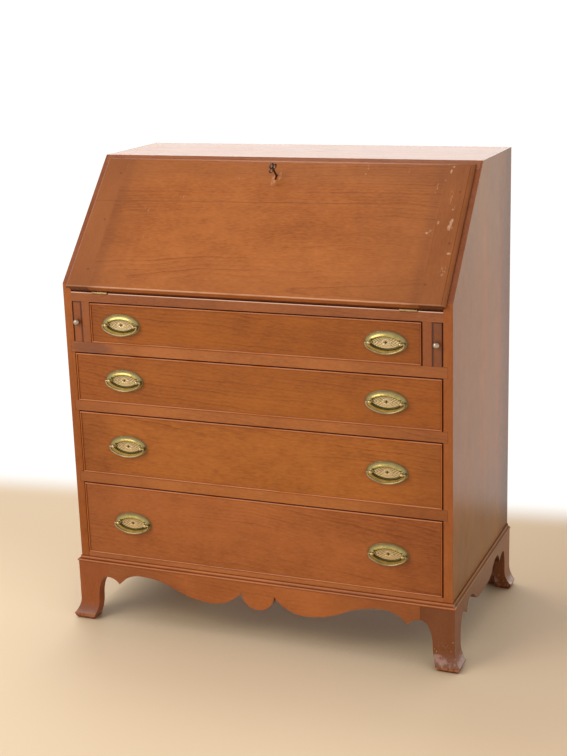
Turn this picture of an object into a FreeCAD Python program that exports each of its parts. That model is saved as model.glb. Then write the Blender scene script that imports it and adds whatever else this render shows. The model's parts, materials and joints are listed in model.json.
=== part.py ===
import FreeCAD, Part
import math
import os
import re

import Sketcher

# Slant-front writing desk: a case of four graduated drawers on splayed bracket feet, a fall front
# that opens level with the writing bed and rests on two pull-out lopers, and a small gallery inside.
# Millimetres, floor at z = 0, x from the middle, front towards -y. Lengths are written as text in
# the sheet's words; y is measured from the case's front plane until a piece is placed.

doc = FreeCAD.newDocument("Desk")

SIZES = {
    # Case
    "case_width": 914, "case_depth": 503.5, "side_thick": 20.5, "top_thick": 18, "top_cover": 4,
    "back_thick": 12, "back_rebate": 10, "back_joint": 1, "slant_run": 242.5, "slant_rise": 263.5,
    # Heights, stacked from the floor to the knee where the slant starts
    "base_high": 144.5, "bottom_thick": 24, "drawer_four": 177, "drawer_three": 150,
    "drawer_two": 115.5, "drawer_one": 94.5, "rail_high": 24.5, "bed_thick": 22, "knee_rise": 17.5,
    "rail_deep": 60, "rail_lap": 9.5, "runner_wide": 90, "divider_thick": 20, "loper_slot": 24.5,
    # Base: moulding, scalloped aprons and splayed feet
    "base_proud": 6.2, "mould_high": 13, "mould_out": 8.2, "mould_step": 5.6, "mould_bulge": 2.2,
    "mould_quirk": 1, "mould_lip": 1.8, "apron_thick": 26, "apron_deep": 64, "foot_wide": 78,
    "foot_side": 70, "ankle_wide": 50, "ankle_high": 57, "sole_inset": 36, "flare_high": 50,
    "toe_high": 13, "toe_side": 14, "toe_front": 12, "brace_wide": 75, "brace_sole": 34,
    "brace_thick": 16, "brace_high": 120,
    # Drawers
    "drawer_gap": 2.2, "drawer_rest": 0.3, "drawer_head": 2.6, "drawer_back_gap": 21.5,
    "front_thick": 20, "box_side": 11, "box_back": 10, "box_bottom": 7, "box_groove": 5,
    "bottom_lift": 9, "side_drop": 8, "bead_wide": 3.2, "bead_proud": 2.2, "bead_deep": 8,
    "bead_round": 1.4, "tail_lap": 1,
    # Pulls
    "pull_inset": 144.5, "pull_drop": 2.5, "plate_half": 47.5, "plate_rise": 26, "plate_thick": 4,
    "plate_round": 3, "eye_half": 33.5, "eye_rise": 11, "eye_deep": 2.6, "rosette_radius": 5,
    "rosette_thick": 1.2, "post_half": 35, "stem_radius": 3, "head_radius": 4.5, "pivot_reach": 9.5,
    "wire_radius": 2.1, "pivot_fit": 0.05, "bail_half": 43, "bail_drop": 22, "nut_radius": 7,
    "nut_thick": 3,
    # Fall front
    "lid_thick": 21.5, "lid_gap": 2.4, "seat_gap": 0.35, "side_show": 12.7, "lid_side_gap": 0.8,
    "top_show": 11.8, "top_lap": 14.3, "cleat_wide": 58, "thumb_wide": 9, "thumb_quirk": 1,
    "thumb_edge": 1.5, "lid_round": 3, "tongue_long": 14, "tongue_thick": 7,
    # Hinges of the fall front
    "hinge_inset": 74.5, "hinge_wide": 38, "leaf_deep": 25, "leaf_thick": 2, "knuckle_radius": 3,
    "knuckle_gap": 0.4, "pin_radius": 1.2,
    # Lock and key
    "lock_left": 4, "lock_wide": 60, "lock_high": 46, "lock_deep": 11, "lock_wall": 1.5,
    "key_drop": 31, "bolt_wide": 22, "bolt_long": 16, "bolt_thick": 3, "bolt_fit": 0.4,
    "bolt_throw": 10, "mortise_room": 2, "bit_reach": 9, "bit_wide": 3.4, "bit_thick": 2.2,
    "key_radius": 2.4, "keyhole_radius": 3.2, "slot_wide": 4, "slot_long": 11, "key_out": 22,
    "bow_ring": 6, "bow_hole": 4, "bow_thick": 2.4, "key_angle": 65,
    # Lopers and knobs
    "loper_fit": 0.5, "loper_gap": 2.4, "loper_back_gap": 51.5, "knob_radius": 7.5,
    "knob_long": 14, "shank_radius": 2.5, "shank_long": 10, "small_knob_radius": 6.5,
    "small_knob_long": 13,
    # Gallery
    "gallery_set": 19.5, "shelf_thick": 8, "small_high": 67, "small_back_gap": 28.7, "small_gap": 0.8,
    "small_front": 12, "small_side": 7, "small_back": 7, "small_bottom": 5, "small_groove": 3,
    "small_lift": 5, "small_drop": 6, "valance_thick": 6, "valance_deep": 34, "valance_arch": 16,
    "valance_inset": 3, "wall_scoop": 24,
    # Run-out of every cutting tool
    "overrun": 5,
}

# Shares of the apron's half length and of its depth, from the middle to the foot
APRON_NOTCH_SHARES = (0.106, 0.414)
APRON_LOBE_SHARES = (0.300, 0.985)
APRON_ARCH_SHARES = (0.775, 0.320)
APRON_CUSP_SHARES = (0.925, 0.755)
APRON_SEAM_SHARE = 0.519
# The same for the shorter side aprons
SIDE_LOBE_SHARES = (0.220, 0.850)
SIDE_ARCH_SHARES = (0.660, 0.330)
SIDE_CUSP_SHARES = (0.815, 0.740)
# Foot and oval shapes
SOLE_SHARE = 0.55
FOOT_ARCH_SHARE = 0.7
OVAL_END_SHARE = 0.6
# Turned knobs: neck radius, collar radius, neck height and rim height
KNOB_SHARES = (0.45, 0.62, 0.35, 0.62)
# Half widths of a dovetail at its root and at its end, in shares of the spacing
TAIL_SHARES = (0.27, 0.36)
BACK_BOARDS = 5
PIGEONHOLES = 6

sheet = doc.addObject("Spreadsheet::Sheet", "Sizes")
for row, (alias, number) in enumerate(SIZES.items(), start=1):
    sheet.set(f"A{row}", alias)
    sheet.set(f"B{row}", str(number))
    sheet.setAlias(f"B{row}", alias)
doc.recompute()

nodes = {}


def bound(text):
    """The text as an expression on the sheet's cells."""
    return re.sub(r"[a-z_]+", lambda word: f"Sizes.{word[0]}" if word[0] in SIZES else word[0], text)


def value(text):
    """The length that a text stands for."""
    result = sheet.evalExpression(bound(text))
    return float(getattr(result, "Value", result))


# Places that many pieces share
HALF = "case_width / 2"
INNER = "(case_width / 2 - side_thick)"
REACH = "max(pivot_reach + head_radius; base_proud + toe_front)"
FRONT = f"(({REACH} - case_depth) / 2)"
BACK = "(case_depth - back_thick)"
FLOORS = ["base_high + bottom_thick"]
for opening in ("drawer_four", "drawer_three", "drawer_two"):
    FLOORS.append(f"{FLOORS[-1]} + {opening} + rail_high")
BED_LOW = f"({FLOORS[3]} + drawer_one)"
BED_TOP = f"({BED_LOW} + bed_thick)"
KNEE = f"({BED_TOP} + knee_rise)"
TOP = f"({KNEE} + slant_rise)"
TOP_LOW = f"({TOP} - top_thick)"
GUIDE = f"({INNER} - loper_slot - divider_thick)"
SLANT = "sqrt(slant_rise^2 + slant_run^2)"
FOOT_OUT = "(case_width / 2 + base_proud)"
DRAWER_END = f"({BACK} - drawer_back_gap)"
PULL_OUT = "(case_width / 2 - pull_inset)"
HINGE_OUT = f"({INNER} - hinge_inset)"
GALLERY = "(slant_run + gallery_set)"
# The fall front's own frame: x, then up the slant from the hinge axis, then outwards
SEAT = f"(knee_rise * slant_run / {SLANT} + seat_gap)"
LIP_END = f"({SLANT} + knee_rise * slant_rise / {SLANT} - top_show)"
LID_END = f"({LIP_END} - top_lap)"
LIP_OUT = "(case_width / 2 - side_show)"
CLEAT_IN = f"({LIP_OUT} - cleat_wide)"
KEY_UP = f"({LID_END} - key_drop)"


def minus(text):
    return f"-({text})"


def rising_radius(run, rise):
    """Radius of an arc that starts along the run and climbs the rise by its end."""
    return f"((({run})^2 + ({rise})^2) / (2 * ({rise})))"


def node(label, piece):
    piece.Label = label
    nodes[label] = piece
    return piece


def place(piece, x="0", y="0", z="0"):
    for axis, text in zip("xyz", (x, y, z)):
        piece.setExpression(f"Placement.Base.{axis}", bound(text))
    return piece


def box(name, low, high, front=FRONT):
    """A board between two corners."""
    piece = doc.addObject("Part::Box", name)
    for side, start, end in zip(("Length", "Width", "Height"), low, high):
        piece.setExpression(side, bound(f"({end}) - ({start})"))
    return place(piece, low[0], f"{front} + {low[1]}", low[2])


def rod(name, axis, radius, start, end, at, front=FRONT):
    """A cylinder along x, y or z; at gives its two other coordinates in x, y, z order."""
    piece = doc.addObject("Part::Cylinder", name)
    turn = {"x": FreeCAD.Rotation(FreeCAD.Vector(0, 1, 0), 90),
            "y": FreeCAD.Rotation(FreeCAD.Vector(1, 0, 0), -90),
            "z": FreeCAD.Rotation()}[axis]
    piece.Placement = FreeCAD.Placement(FreeCAD.Vector(), turn)
    piece.setExpression("Radius", bound(radius))
    piece.setExpression("Height", bound(f"({end}) - ({start})"))
    spot = list(at)
    spot.insert("xyz".index(axis), start)
    return place(piece, spot[0], f"{front} + {spot[1]}", spot[2])


def ball(name, radius, at, front=FRONT):
    piece = doc.addObject("Part::Sphere", name)
    piece.setExpression("Radius", bound(radius))
    return place(piece, at[0], f"{front} + {at[1]}", at[2])


def cut(name, base, *tools):
    for number, tool in enumerate(tools):
        piece = doc.addObject("Part::Cut", f"{name}_cut{number}")
        piece.Base = base
        piece.Tool = tool
        base = piece
    return base


def fuse(name, *shapes):
    piece = doc.addObject("Part::MultiFuse", name)
    piece.Shapes = list(shapes)
    return piece


def common(name, first, second):
    piece = doc.addObject("Part::Common", name)
    piece.Base = first
    piece.Tool = second
    return piece


def group(name, *pieces):
    """Separate solids held as one piece, which can then be placed."""
    piece = doc.addObject("Part::Compound", name)
    piece.Links = list(pieces)
    return piece


def mirrored(name, piece):
    """The same piece on the other side of the middle plane."""
    twin = doc.addObject("Part::Mirroring", name)
    twin.Source = piece
    twin.Normal = FreeCAD.Vector(1, 0, 0)
    return twin


def pair(name, piece):
    return group(name, piece, mirrored(f"{name}_twin", piece))


def on_lid(piece):
    """Set a piece that was made in the fall front's frame onto the slant."""
    piece.Placement = FreeCAD.Placement(FreeCAD.Vector(), FreeCAD.Rotation(FreeCAD.Vector(1, 0, 0), 1))
    piece.setExpression("Placement.Rotation.Angle", bound("atan(slant_rise / slant_run)"))
    return place(piece, "0", FRONT, BED_TOP)


def draw(sketch, points, arcs, closed):
    """Lines and arcs through the points. arcs maps an edge's number to (radius, turn)."""
    spots = [FreeCAD.Vector(value(x), value(y), 0) for x, y in points]
    ends = []
    for number in range(len(points) if closed else len(points) - 1):
        first, last = spots[number], spots[(number + 1) % len(spots)]
        if number not in arcs:
            ends.append((sketch.addGeometry(Part.LineSegment(first, last)), 1, 2))
            continue
        radius, turn = arcs[number]
        chord = last - first
        reach = math.sqrt(max(value(radius) ** 2 - chord.Length ** 2 / 4, 0))
        left = FreeCAD.Vector(-chord.y, chord.x, 0).normalize()
        centre = (first + last) * 0.5 + left * reach * turn
        begin, stop = (first, last) if turn > 0 else (last, first)
        angles = [math.atan2(spot.y - centre.y, spot.x - centre.x) for spot in (begin, stop)]
        circle = Part.Circle(centre, FreeCAD.Vector(0, 0, 1), (begin - centre).Length)
        edge = sketch.addGeometry(Part.ArcOfCircle(circle, angles[0], angles[1]))
        ends.append((edge, 1, 2) if turn > 0 else (edge, 2, 1))
    for number, (edge, begin, stop) in enumerate(ends):
        if closed or number + 1 < len(ends):
            follower = ends[(number + 1) % len(ends)]
            sketch.addConstraint(Sketcher.Constraint("Coincident", edge, stop, follower[0], follower[1]))
    corners = [(edge, begin) for edge, begin, stop in ends]
    if not closed:
        corners.append((ends[-1][0], ends[-1][2]))
    for (edge, end), (x, y) in zip(corners, points):
        for kind, text in (("DistanceX", x), ("DistanceY", y)):
            rule = sketch.addConstraint(Sketcher.Constraint(kind, -1, 1, edge, end, value(text)))
            sketch.setExpression(f"Constraints[{rule}]", bound(text))
    for number, (radius, turn) in arcs.items():
        rule = sketch.addConstraint(Sketcher.Constraint("Radius", ends[number][0], value(radius)))
        sketch.setExpression(f"Constraints[{rule}]", bound(radius))


def body_sketch(body, name, plane, *outlines):
    sketch = body.newObject("Sketcher::SketchObject", name)
    support = [item for item in body.Origin.OriginFeatures if item.Role == f"{plane}_Plane"]
    sketch.AttachmentSupport = [(support[0], "")]
    sketch.MapMode = "FlatFace"
    for points, arcs in outlines:
        draw(sketch, points, arcs, True)
    return sketch


def prism(name, plane, start, end, points, arcs=None, front=FRONT, hole=None):
    """An outline in the XY, XZ or YZ plane, padded along the third axis from start to end."""
    body = doc.addObject("PartDesign::Body", name)
    outlines = [(points, arcs or {})]
    if hole:
        outlines.append(hole)
    pad = body.newObject("PartDesign::Pad", f"{name}_pad")
    pad.Profile = body_sketch(body, f"{name}_outline", plane, *outlines)
    pad.setExpression("Length", bound(f"({end}) - ({start})"))
    pad.Reversed = plane == "XZ"
    x, y, z = {"YZ": (start, "0", "0"), "XZ": ("0", start, "0"), "XY": ("0", "0", start)}[plane]
    return place(body, x, f"{front} + {y}", z)


def rectangle(low, high):
    return [(low[0], low[1]), (high[0], low[1]), (high[0], high[1]), (low[0], high[1])]


def oval(half, rise):
    """A three-centred oval as points and arcs, counter-clockwise from the right-hand end."""
    end = f"({rise} * {OVAL_END_SHARE})"
    run = f"({half} - {end})"
    long = f"((({run})^2 + ({rise})^2 - {end}^2) / (2 * ({rise} - {end})))"
    deep = f"({long} - {rise})"
    slope = f"sqrt({run}^2 + {deep}^2)"
    x = f"({long} * {run} / {slope})"
    y = f"({long} * {deep} / {slope} - {deep})"
    points = [(x, y), (minus(x), y), (minus(x), minus(y)), (x, minus(y))]
    return points, {0: (long, 1), 1: (end, 1), 2: (long, 1), 3: (end, 1)}


def knob(name, radius, length):
    """A turned knob on a round shank, along +z from its seat."""
    neck, collar, neck_up, rim_up = KNOB_SHARES
    body = doc.addObject("PartDesign::Body", name)
    rim = f"{length} * {rim_up}"
    points = [("0", "-shank_long"), ("shank_radius", "-shank_long"), ("shank_radius", "0"),
              (f"{radius} * {collar}", "0"), (f"{radius} * {neck}", f"{length} * {neck_up}"),
              (radius, rim), ("0", length)]
    turned = body.newObject("PartDesign::Revolution", f"{name}_turning")
    dome = rising_radius(radius, f"{length} - {rim}")
    turned.Profile = body_sketch(body, f"{name}_section", "XZ", (points, {5: (dome, 1)}))
    turned.ReferenceAxis = (turned.Profile[0], ["V_Axis"])
    turned.Angle = 360
    return body


def facing_front(piece, x, y, z):
    """Turn a piece made along +z to point out of the front, and place it."""
    piece.Placement = FreeCAD.Placement(FreeCAD.Vector(), FreeCAD.Rotation(FreeCAD.Vector(1, 0, 0), 90))
    return place(piece, x, f"{FRONT} + {y}", z)


def make_case():
    """Sides, top, bottom, back, writing bed, drawer rails, dividers and runners."""
    rails = []
    runners = []
    for number, floor in enumerate(FLOORS[1:]):
        low = f"{floor} - rail_high"
        end = f"{INNER} + rail_lap"
        rails.append(box(f"rail{number}", (minus(end), "0", low), (end, "rail_deep", floor)))
        runners.append(box(f"runner{number}", (f"{INNER} - runner_wide", "rail_deep", low),
                           (INNER, BACK, floor)))
    node("drawer_rails", group("rails", *rails))
    node("drawer_runners", pair("runners", group("runners_right", *runners)))

    corner = "slant_run - top_thick * slant_run / slant_rise"
    end = f"({HALF} - top_cover)"
    slab = prism("top_slab", "YZ", minus(end), end,
                 [(corner, TOP_LOW), ("case_depth", TOP_LOW), ("case_depth", TOP), ("slant_run", TOP)])
    profile = [("0", "base_high"), ("case_depth", "base_high"), ("case_depth", TOP), ("slant_run", TOP),
               ("0", KNEE)]
    board = prism("side_board", "YZ", INNER, HALF, profile)
    rebate = box("rebate", (f"{INNER} - overrun", BACK, "base_high - overrun"),
                 (f"{INNER} + back_rebate", "case_depth + overrun", f"{TOP} + overrun"))
    side = node("side_right", cut("side", board, rebate, slab, *rails))
    node("side_left", mirrored("side_left", side))

    wide = "(bolt_wide / 2 + bolt_fit)"
    mortise = on_lid(group("mortise", box(
        "mortise_tool", (f"-lock_left - {wide}", LID_END, "lock_wall"),
        (f"-lock_left + {wide}", f"{LID_END} + bolt_throw + mortise_room",
         "lock_wall + bolt_thick + 3 * bolt_fit"), front="0")))
    node("top_board", cut("top", slab, mortise))

    node("bottom_board", box("bottom", (minus(INNER), "0", "base_high"), (INNER, BACK, FLOORS[0])))
    board_high = f"({TOP_LOW} - base_high + back_joint) / {BACK_BOARDS}"
    wide = f"{INNER} + back_rebate"
    backs = []
    for number in range(BACK_BOARDS):
        low = f"base_high + {number} * {board_high}"
        backs.append(box(f"back{number}", (minus(wide), BACK, low),
                         (wide, "case_depth", f"{low} + {board_high} - back_joint")))
    node("back_boards", group("backs", *backs))

    divider = box("divider", (GUIDE, "0", FLOORS[3]), (f"{GUIDE} + divider_thick", BACK, BED_LOW))
    node("loper_dividers", pair("dividers", divider))


def make_base():
    """Mitred base moulding, scalloped aprons and splayed feet."""
    far = "(mould_out + overrun)"
    high = "base_high + mould_high"
    step = "base_high + mould_step"
    neck = "(mould_out - mould_bulge)"
    bead = rising_radius("mould_step / 2", "mould_bulge")
    cove = rising_radius("mould_high - mould_step - mould_quirk", f"{neck} - mould_quirk - mould_lip")

    def moulding(side, turn):
        """A bead under a quirk and a cove, as points and arcs."""
        points = [(side("0"), "base_high"), (side(neck), "base_high"), (side(neck), step),
                  (side(f"{neck} - mould_quirk"), step), (side("mould_lip"), f"{high} - mould_quirk"),
                  (side("mould_lip"), high), (side("0"), high)]
        return points, {1: (bead, turn), 3: (cove, -turn)}

    front_strip = prism("mould_front", "YZ", f"-{HALF} - {far}", f"{HALF} + {far}",
                        *moulding(minus, -1))
    front_plan = prism("mould_plan", "XY", "base_high - overrun", f"{high} + overrun",
                       [(f"-{HALF}", "0"), (f"-{HALF} - {far}", minus(far)),
                        (f"{HALF} + {far}", minus(far)), (HALF, "0")])
    side_strip = prism("mould_side", "XZ", minus(far), "case_depth",
                       *moulding(lambda text: f"{HALF} + {text}", 1))
    side_plan = prism("mould_side_plan", "XY", "base_high - overrun", f"{high} + overrun",
                      [(HALF, "0"), (f"{HALF} + {far}", minus(far)),
                       (f"{HALF} + {far}", "case_depth"), (HALF, "case_depth")])
    strip = common("mould_right", side_strip, side_plan)
    node("base_moulding", group("moulding", common("mould_middle", front_strip, front_plan), strip,
                                mirrored("mould_left", strip)))

    def hanging(share):
        return f"(base_high - apron_deep * {share})"

    seam = hanging(APRON_SEAM_SHARE)

    def half_edge(length, cusp, arch, lobe):
        """Lower edge from the foot's seam to the lobe, with its arcs' runs and rises."""
        middle = ((arch[0] + lobe[0]) / 2, (arch[1] + lobe[1]) / 2)
        points = [(length, seam)]
        points += [(f"{length} * {across}", hanging(down)) for across, down in (cusp, arch, middle, lobe)]
        steps = [(1 - cusp[0], cusp[1] - APRON_SEAM_SHARE), (cusp[0] - arch[0], cusp[1] - arch[1])]
        steps += [(arch[0] - middle[0], middle[1] - arch[1])] * 2
        radii = [rising_radius(f"{length} * {across}", f"apron_deep * {down}") for across, down in steps]
        return points, [(radius, turn) for radius, turn in zip(radii, (1, 1, 1, -1))]

    def apron(length, right, arcs, middle, middle_arcs):
        """Top edge, then the lower edge from the right seam over the middle to the left seam."""
        points = [(minus(length), "base_high"), (length, "base_high")] + right + middle
        points += [(minus(x), z) for x, z in reversed(right)]
        edges = arcs + middle_arcs + arcs[::-1]
        return points, {number + 2: arc for number, arc in enumerate(edges) if arc}

    length = f"({FOOT_OUT} - foot_wide)"
    right, arcs = half_edge(length, APRON_CUSP_SHARES, APRON_ARCH_SHARES, APRON_LOBE_SHARES)
    notch = APRON_NOTCH_SHARES
    right.append((f"{length} * {notch[0]}", hanging(notch[1])))
    lobe_run = f"{length} * {APRON_LOBE_SHARES[0] - notch[0]}"
    arcs.append((rising_radius(lobe_run, f"apron_deep * {APRON_LOBE_SHARES[1] - notch[1]}"), -1))
    drop = (rising_radius(f"{length} * {notch[0]}", f"apron_deep * {1 - notch[1]}"), -1)
    node("front_apron", prism("front_apron", "XZ", minus("base_proud"), "apron_thick - base_proud",
                              *apron(length, right, arcs, [("0", hanging(1))], [drop, drop])))

    length = "((case_depth + base_proud) / 2 - foot_side)"
    right, arcs = half_edge(length, SIDE_CUSP_SHARES, SIDE_ARCH_SHARES, SIDE_LOBE_SHARES)
    middle = "((case_depth - base_proud) / 2)"
    side = prism("side_apron", "YZ", f"{FOOT_OUT} - apron_thick", FOOT_OUT,
                 *apron(length, right, arcs, [], [None]), front=f"{FRONT} + {middle}")
    node("side_aprons", pair("side_aprons", side))

    def nose(toe):
        """Radius of the toe where it rounds under to the sole."""
        return rising_radius("toe_high", f"{toe} * {1 - SOLE_SHARE}")

    def foot_outline(outer, wide, toe, sign):
        """A foot from its top corner down the outer edge, over the sole and up to the seam."""
        def out(text):
            return f"({outer} + {sign} * ({text}))"
        run = f"({wide} - ankle_wide)"
        rise = f"({seam} - ankle_high)"
        end = f"({run} * {FOOT_ARCH_SHARE})"
        long = f"((({run})^2 + ({rise} - {end})^2 - {end}^2) / (2 * ({run} - {end})))"
        slope = f"sqrt(({long} - {run})^2 + ({rise} - {end})^2)"
        bend_x = f"ankle_wide + {long} - {long} * ({long} - {run}) / {slope}"
        bend_z = f"ankle_high + {long} * ({rise} - {end}) / {slope}"
        points = [(out("0"), "base_high")]
        arcs = []
        if toe != "0":
            points += [(out("0"), "flare_high"), (out(toe), "toe_high")]
            arcs += [None, (rising_radius("flare_high - toe_high", toe), sign), (nose(toe), -sign)]
        else:
            arcs += [None]
        points += [(out(f"{toe} * {SOLE_SHARE}"), "0"), (out("-sole_inset"), "0"),
                   (out("-ankle_wide"), "ankle_high"), (out(f"-({bend_x})"), bend_z),
                   (out(f"-({wide})"), seam), (out(f"-({wide})"), "base_high")]
        arcs += [None, (rising_radius("ankle_high", "ankle_wide - sole_inset"), -sign), (long, sign),
                 (end, sign)]
        return points, {number: arc for number, arc in enumerate(arcs) if arc}

    def band(outer, toe, sign):
        """A wing's thickness, splayed outwards at the toe."""
        def out(text):
            return f"({outer} + {sign} * ({text}))"
        points = [(out("0"), "base_high"), (out("0"), "flare_high"), (out(toe), "toe_high"),
                  (out(f"{toe} * {SOLE_SHARE}"), "0"), (out("-apron_thick"), "0"),
                  (out("-apron_thick"), "base_high")]
        return points, {1: (rising_radius("flare_high - toe_high", toe), sign), 2: (nose(toe), -sign)}

    near = "-base_proud - toe_front - overrun"
    far = f"{FOOT_OUT} + toe_side + overrun"
    inside = f"{FOOT_OUT} - apron_thick"
    front_wing = common(
        "front_wing",
        prism("front_wing_outline", "XZ", near, "apron_thick",
              *foot_outline(FOOT_OUT, "foot_wide", "toe_side", 1)),
        prism("front_wing_band", "YZ", f"{FOOT_OUT} - foot_wide - overrun", far,
              *band("-base_proud", "toe_front", -1)))
    side_wing = common(
        "side_wing",
        prism("side_wing_outline", "YZ", f"{inside} - overrun", far,
              *foot_outline("-base_proud", "foot_side", "toe_front", -1)),
        prism("side_wing_band", "XZ", near, "foot_side", *band(FOOT_OUT, "toe_side", 1)))
    foot = node("foot_front_right", fuse("front_foot", front_wing, side_wing))
    node("foot_front_left", mirrored("front_foot_left", foot))

    rear_wing = common(
        "rear_wing",
        prism("rear_wing_outline", "YZ", f"{inside} - overrun", far,
              *foot_outline("case_depth", "foot_side", "0", 1)),
        prism("rear_wing_band", "XZ", "case_depth - foot_side - overrun", "case_depth + overrun",
              *band(FOOT_OUT, "toe_side", 1)))
    brace = prism("rear_brace", "XZ", "case_depth - brace_thick", "case_depth",
                  [(inside, "base_high"), (inside, "0"), (f"{inside} - brace_sole", "0"),
                   (f"{inside} - brace_wide", "brace_high"), (f"{inside} - brace_wide", "base_high")],
                  {2: (rising_radius("brace_high", "brace_wide - brace_sole"), 1)})
    foot = node("foot_rear_right", group("rear_foot", rear_wing, brace))
    node("foot_rear_left", mirrored("rear_foot_left", foot))


def round_front(body, radius):
    """Round the edges of a padded body's front face."""
    doc.recompute()
    pad = body.Tip
    face = pad.Shape.BoundBox.YMin
    rims = [f"Edge{count}" for count, edge in enumerate(pad.Shape.Edges, start=1)
            if edge.BoundBox.YMax < face + value(radius) / 2]
    rounding = body.newObject("PartDesign::Fillet", f"{body.Name}_round")
    rounding.Base = (pad, rims)
    rounding.setExpression("Radius", bound(radius))


def make_pull():
    """One oval plate with its posts and nuts, one bail, and the two stems that pass the drawer front.

    All are centred on the pull, with y measured from the drawer's face."""
    stems = [rod(f"stem{side}", "y", "stem_radius", minus("pivot_reach"), "front_thick + nut_thick",
                 (f"{sign} * post_half", "0"), front="0") for side, sign in (("a", 1), ("b", -1))]
    face = minus("plate_thick")
    field = "(eye_deep - plate_thick)"
    dome = prism("plate_dome", "XZ", face, "0", *oval("plate_half", "plate_rise"), front="0")
    round_front(dome, "plate_round")
    lens = (rising_radius("eye_half", "eye_rise"), 1)
    eye = prism("plate_eye", "XZ", f"{face} - overrun", field, [("eye_half", "0"), ("-eye_half", "0")],
                {0: lens, 1: lens}, front="0")
    rosette = rod("plate_rosette", "y", "rosette_radius", f"{field} - rosette_thick", field, ("0", "0"),
                  front="0")
    pieces = [cut("plate", fuse("plate_whole", cut("plate_field", dome, eye), rosette), *stems)]
    for number, (stem, sign) in enumerate(zip(stems, (1, -1))):
        x = f"{sign} * post_half"
        head = ball(f"head{number}", "head_radius", (x, minus("pivot_reach"), "0"), front="0")
        hole = rod(f"pivot_hole{number}", "x", "wire_radius + pivot_fit", f"{x} - head_radius - overrun",
                   f"{x} + head_radius + overrun", (minus("pivot_reach"), "0"), front="0")
        pieces.append(cut(f"post{number}", fuse(f"post_whole{number}", stem, head), hole))
        nut = rod(f"nut_round{number}", "y", "nut_radius", "front_thick", "front_thick + nut_thick",
                  (x, "0"), front="0")
        pieces.append(cut(f"nut{number}", nut, stem))

    spine = doc.addObject("Sketcher::SketchObject", "bail_line")
    points, arcs = oval("bail_half", "bail_drop")
    low = [("bail_half", "0"), points[3], points[2], ("-bail_half", "0")]
    draw(spine, low, {0: (arcs[3][0], -1), 1: (arcs[2][0], -1), 2: (arcs[1][0], -1)}, False)
    spine.Placement = FreeCAD.Placement(FreeCAD.Vector(), FreeCAD.Rotation(FreeCAD.Vector(1, 0, 0), 90))
    ring = doc.addObject("Part::Circle", "bail_section")
    ring.setExpression("Radius", bound("wire_radius"))
    place(ring, "bail_half")
    bow = doc.addObject("Part::Sweep", "bail_bow")
    bow.Sections = [ring]
    bow.Spine = (spine, ["Edge1", "Edge2", "Edge3"])
    bow.Solid = True
    tip = "post_half - head_radius / 2"
    pins = [rod("bail_pin0", "x", "wire_radius", tip, "bail_half", ("0", "0"), front="0"),
            rod("bail_pin1", "x", "wire_radius", "-bail_half", minus(tip), ("0", "0"), front="0")]
    elbows = [ball(f"elbow{number}", "wire_radius", (x, "0", "0"), front="0")
              for number, x in enumerate(("bail_half", "-bail_half"))]
    bail = fuse("bail_whole", bow, *pins, *elbows)
    return group("pull_fixed", *pieces), bail, group("pull_stems", *stems)


def make_drawer(number, height, half, floor, tails, pull, bail, stems):
    """A drawer: front with cock bead, box lapped into it by dovetails, and two pulls with bails."""
    name = f"drawer_{number}"
    wide = f"({half} - drawer_gap)"
    low = f"({floor} + drawer_rest)"
    high = f"({floor} + {height} - drawer_head)"
    bottom_low = f"({low} + bottom_lift)"
    bottom_high = f"({bottom_low} + box_bottom)"
    inside = f"({wide} - box_side)"
    inside_groove = f"{inside} + box_groove"
    bottom = box(f"{name}_bottom", (minus(inside_groove), "front_thick - box_groove", bottom_low),
                 (inside_groove, DRAWER_END, bottom_high))

    inner = f"({wide} - bead_wide)"
    bead = prism(f"{name}_bead", "XZ", minus("bead_proud"), "bead_deep",
                 rectangle((minus(wide), low), (wide, high)),
                 hole=(rectangle((minus(inner), f"{low} + bead_wide"), (inner, f"{high} - bead_wide")), {}))
    round_front(bead, "bead_round")
    node(f"{name}_bead", bead)

    middle = f"({floor} + {height} / 2 - pull_drop)"
    fixed, drills = [], []
    for side, sign in (("left", -1), ("right", 1)):
        x = f"{sign} * {PULL_OUT}"
        fixed.append(place(group(f"{name}_pull_{side}", pull), x, FRONT, middle))
        drills.append(place(group(f"{name}_drill_{side}", stems), x, FRONT, middle))
        node(f"{name}_bail_{side}",
             place(group(f"{name}_bail_{side}", bail), x, f"{FRONT} - pivot_reach", middle))
    node(f"{name}_brasses", group(f"{name}_brasses", *fixed))

    top = f"({high} - side_drop)"
    spacing = f"(({top} - {low}) / {tails})"
    root, tip = (f"({spacing} * {share})" for share in TAIL_SHARES)
    side = [box(f"{name}_side", (inside, "front_thick", low), (wide, DRAWER_END, top))]
    for count in range(tails):
        level = f"({low} + {spacing} * {count + 0.5})"
        lap = "bead_deep + tail_lap"
        outline = [("front_thick", f"{level} - {root}"), ("front_thick", f"{level} + {root}"),
                   (lap, f"{level} + {tip}"), (lap, f"{level} - {tip}")]
        side.append(prism(f"{name}_tail{count}", "YZ", inside, wide, outline))
    side = fuse(f"{name}_side_tailed", *side)
    back = box(f"{name}_back", (minus(inside), f"{DRAWER_END} - box_back", bottom_high),
               (inside, DRAWER_END, f"{top} - side_drop"))
    sides = pair(f"{name}_sides", cut(f"{name}_side_grooved", side, bottom))
    board = box(f"{name}_board", (minus(wide), "0", low), (wide, "front_thick", high))
    node(f"{name}_front", cut(f"{name}_front", board, bead, bottom, sides, *drills))
    node(f"{name}_box", group(f"{name}_box", sides, back, bottom))


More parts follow.
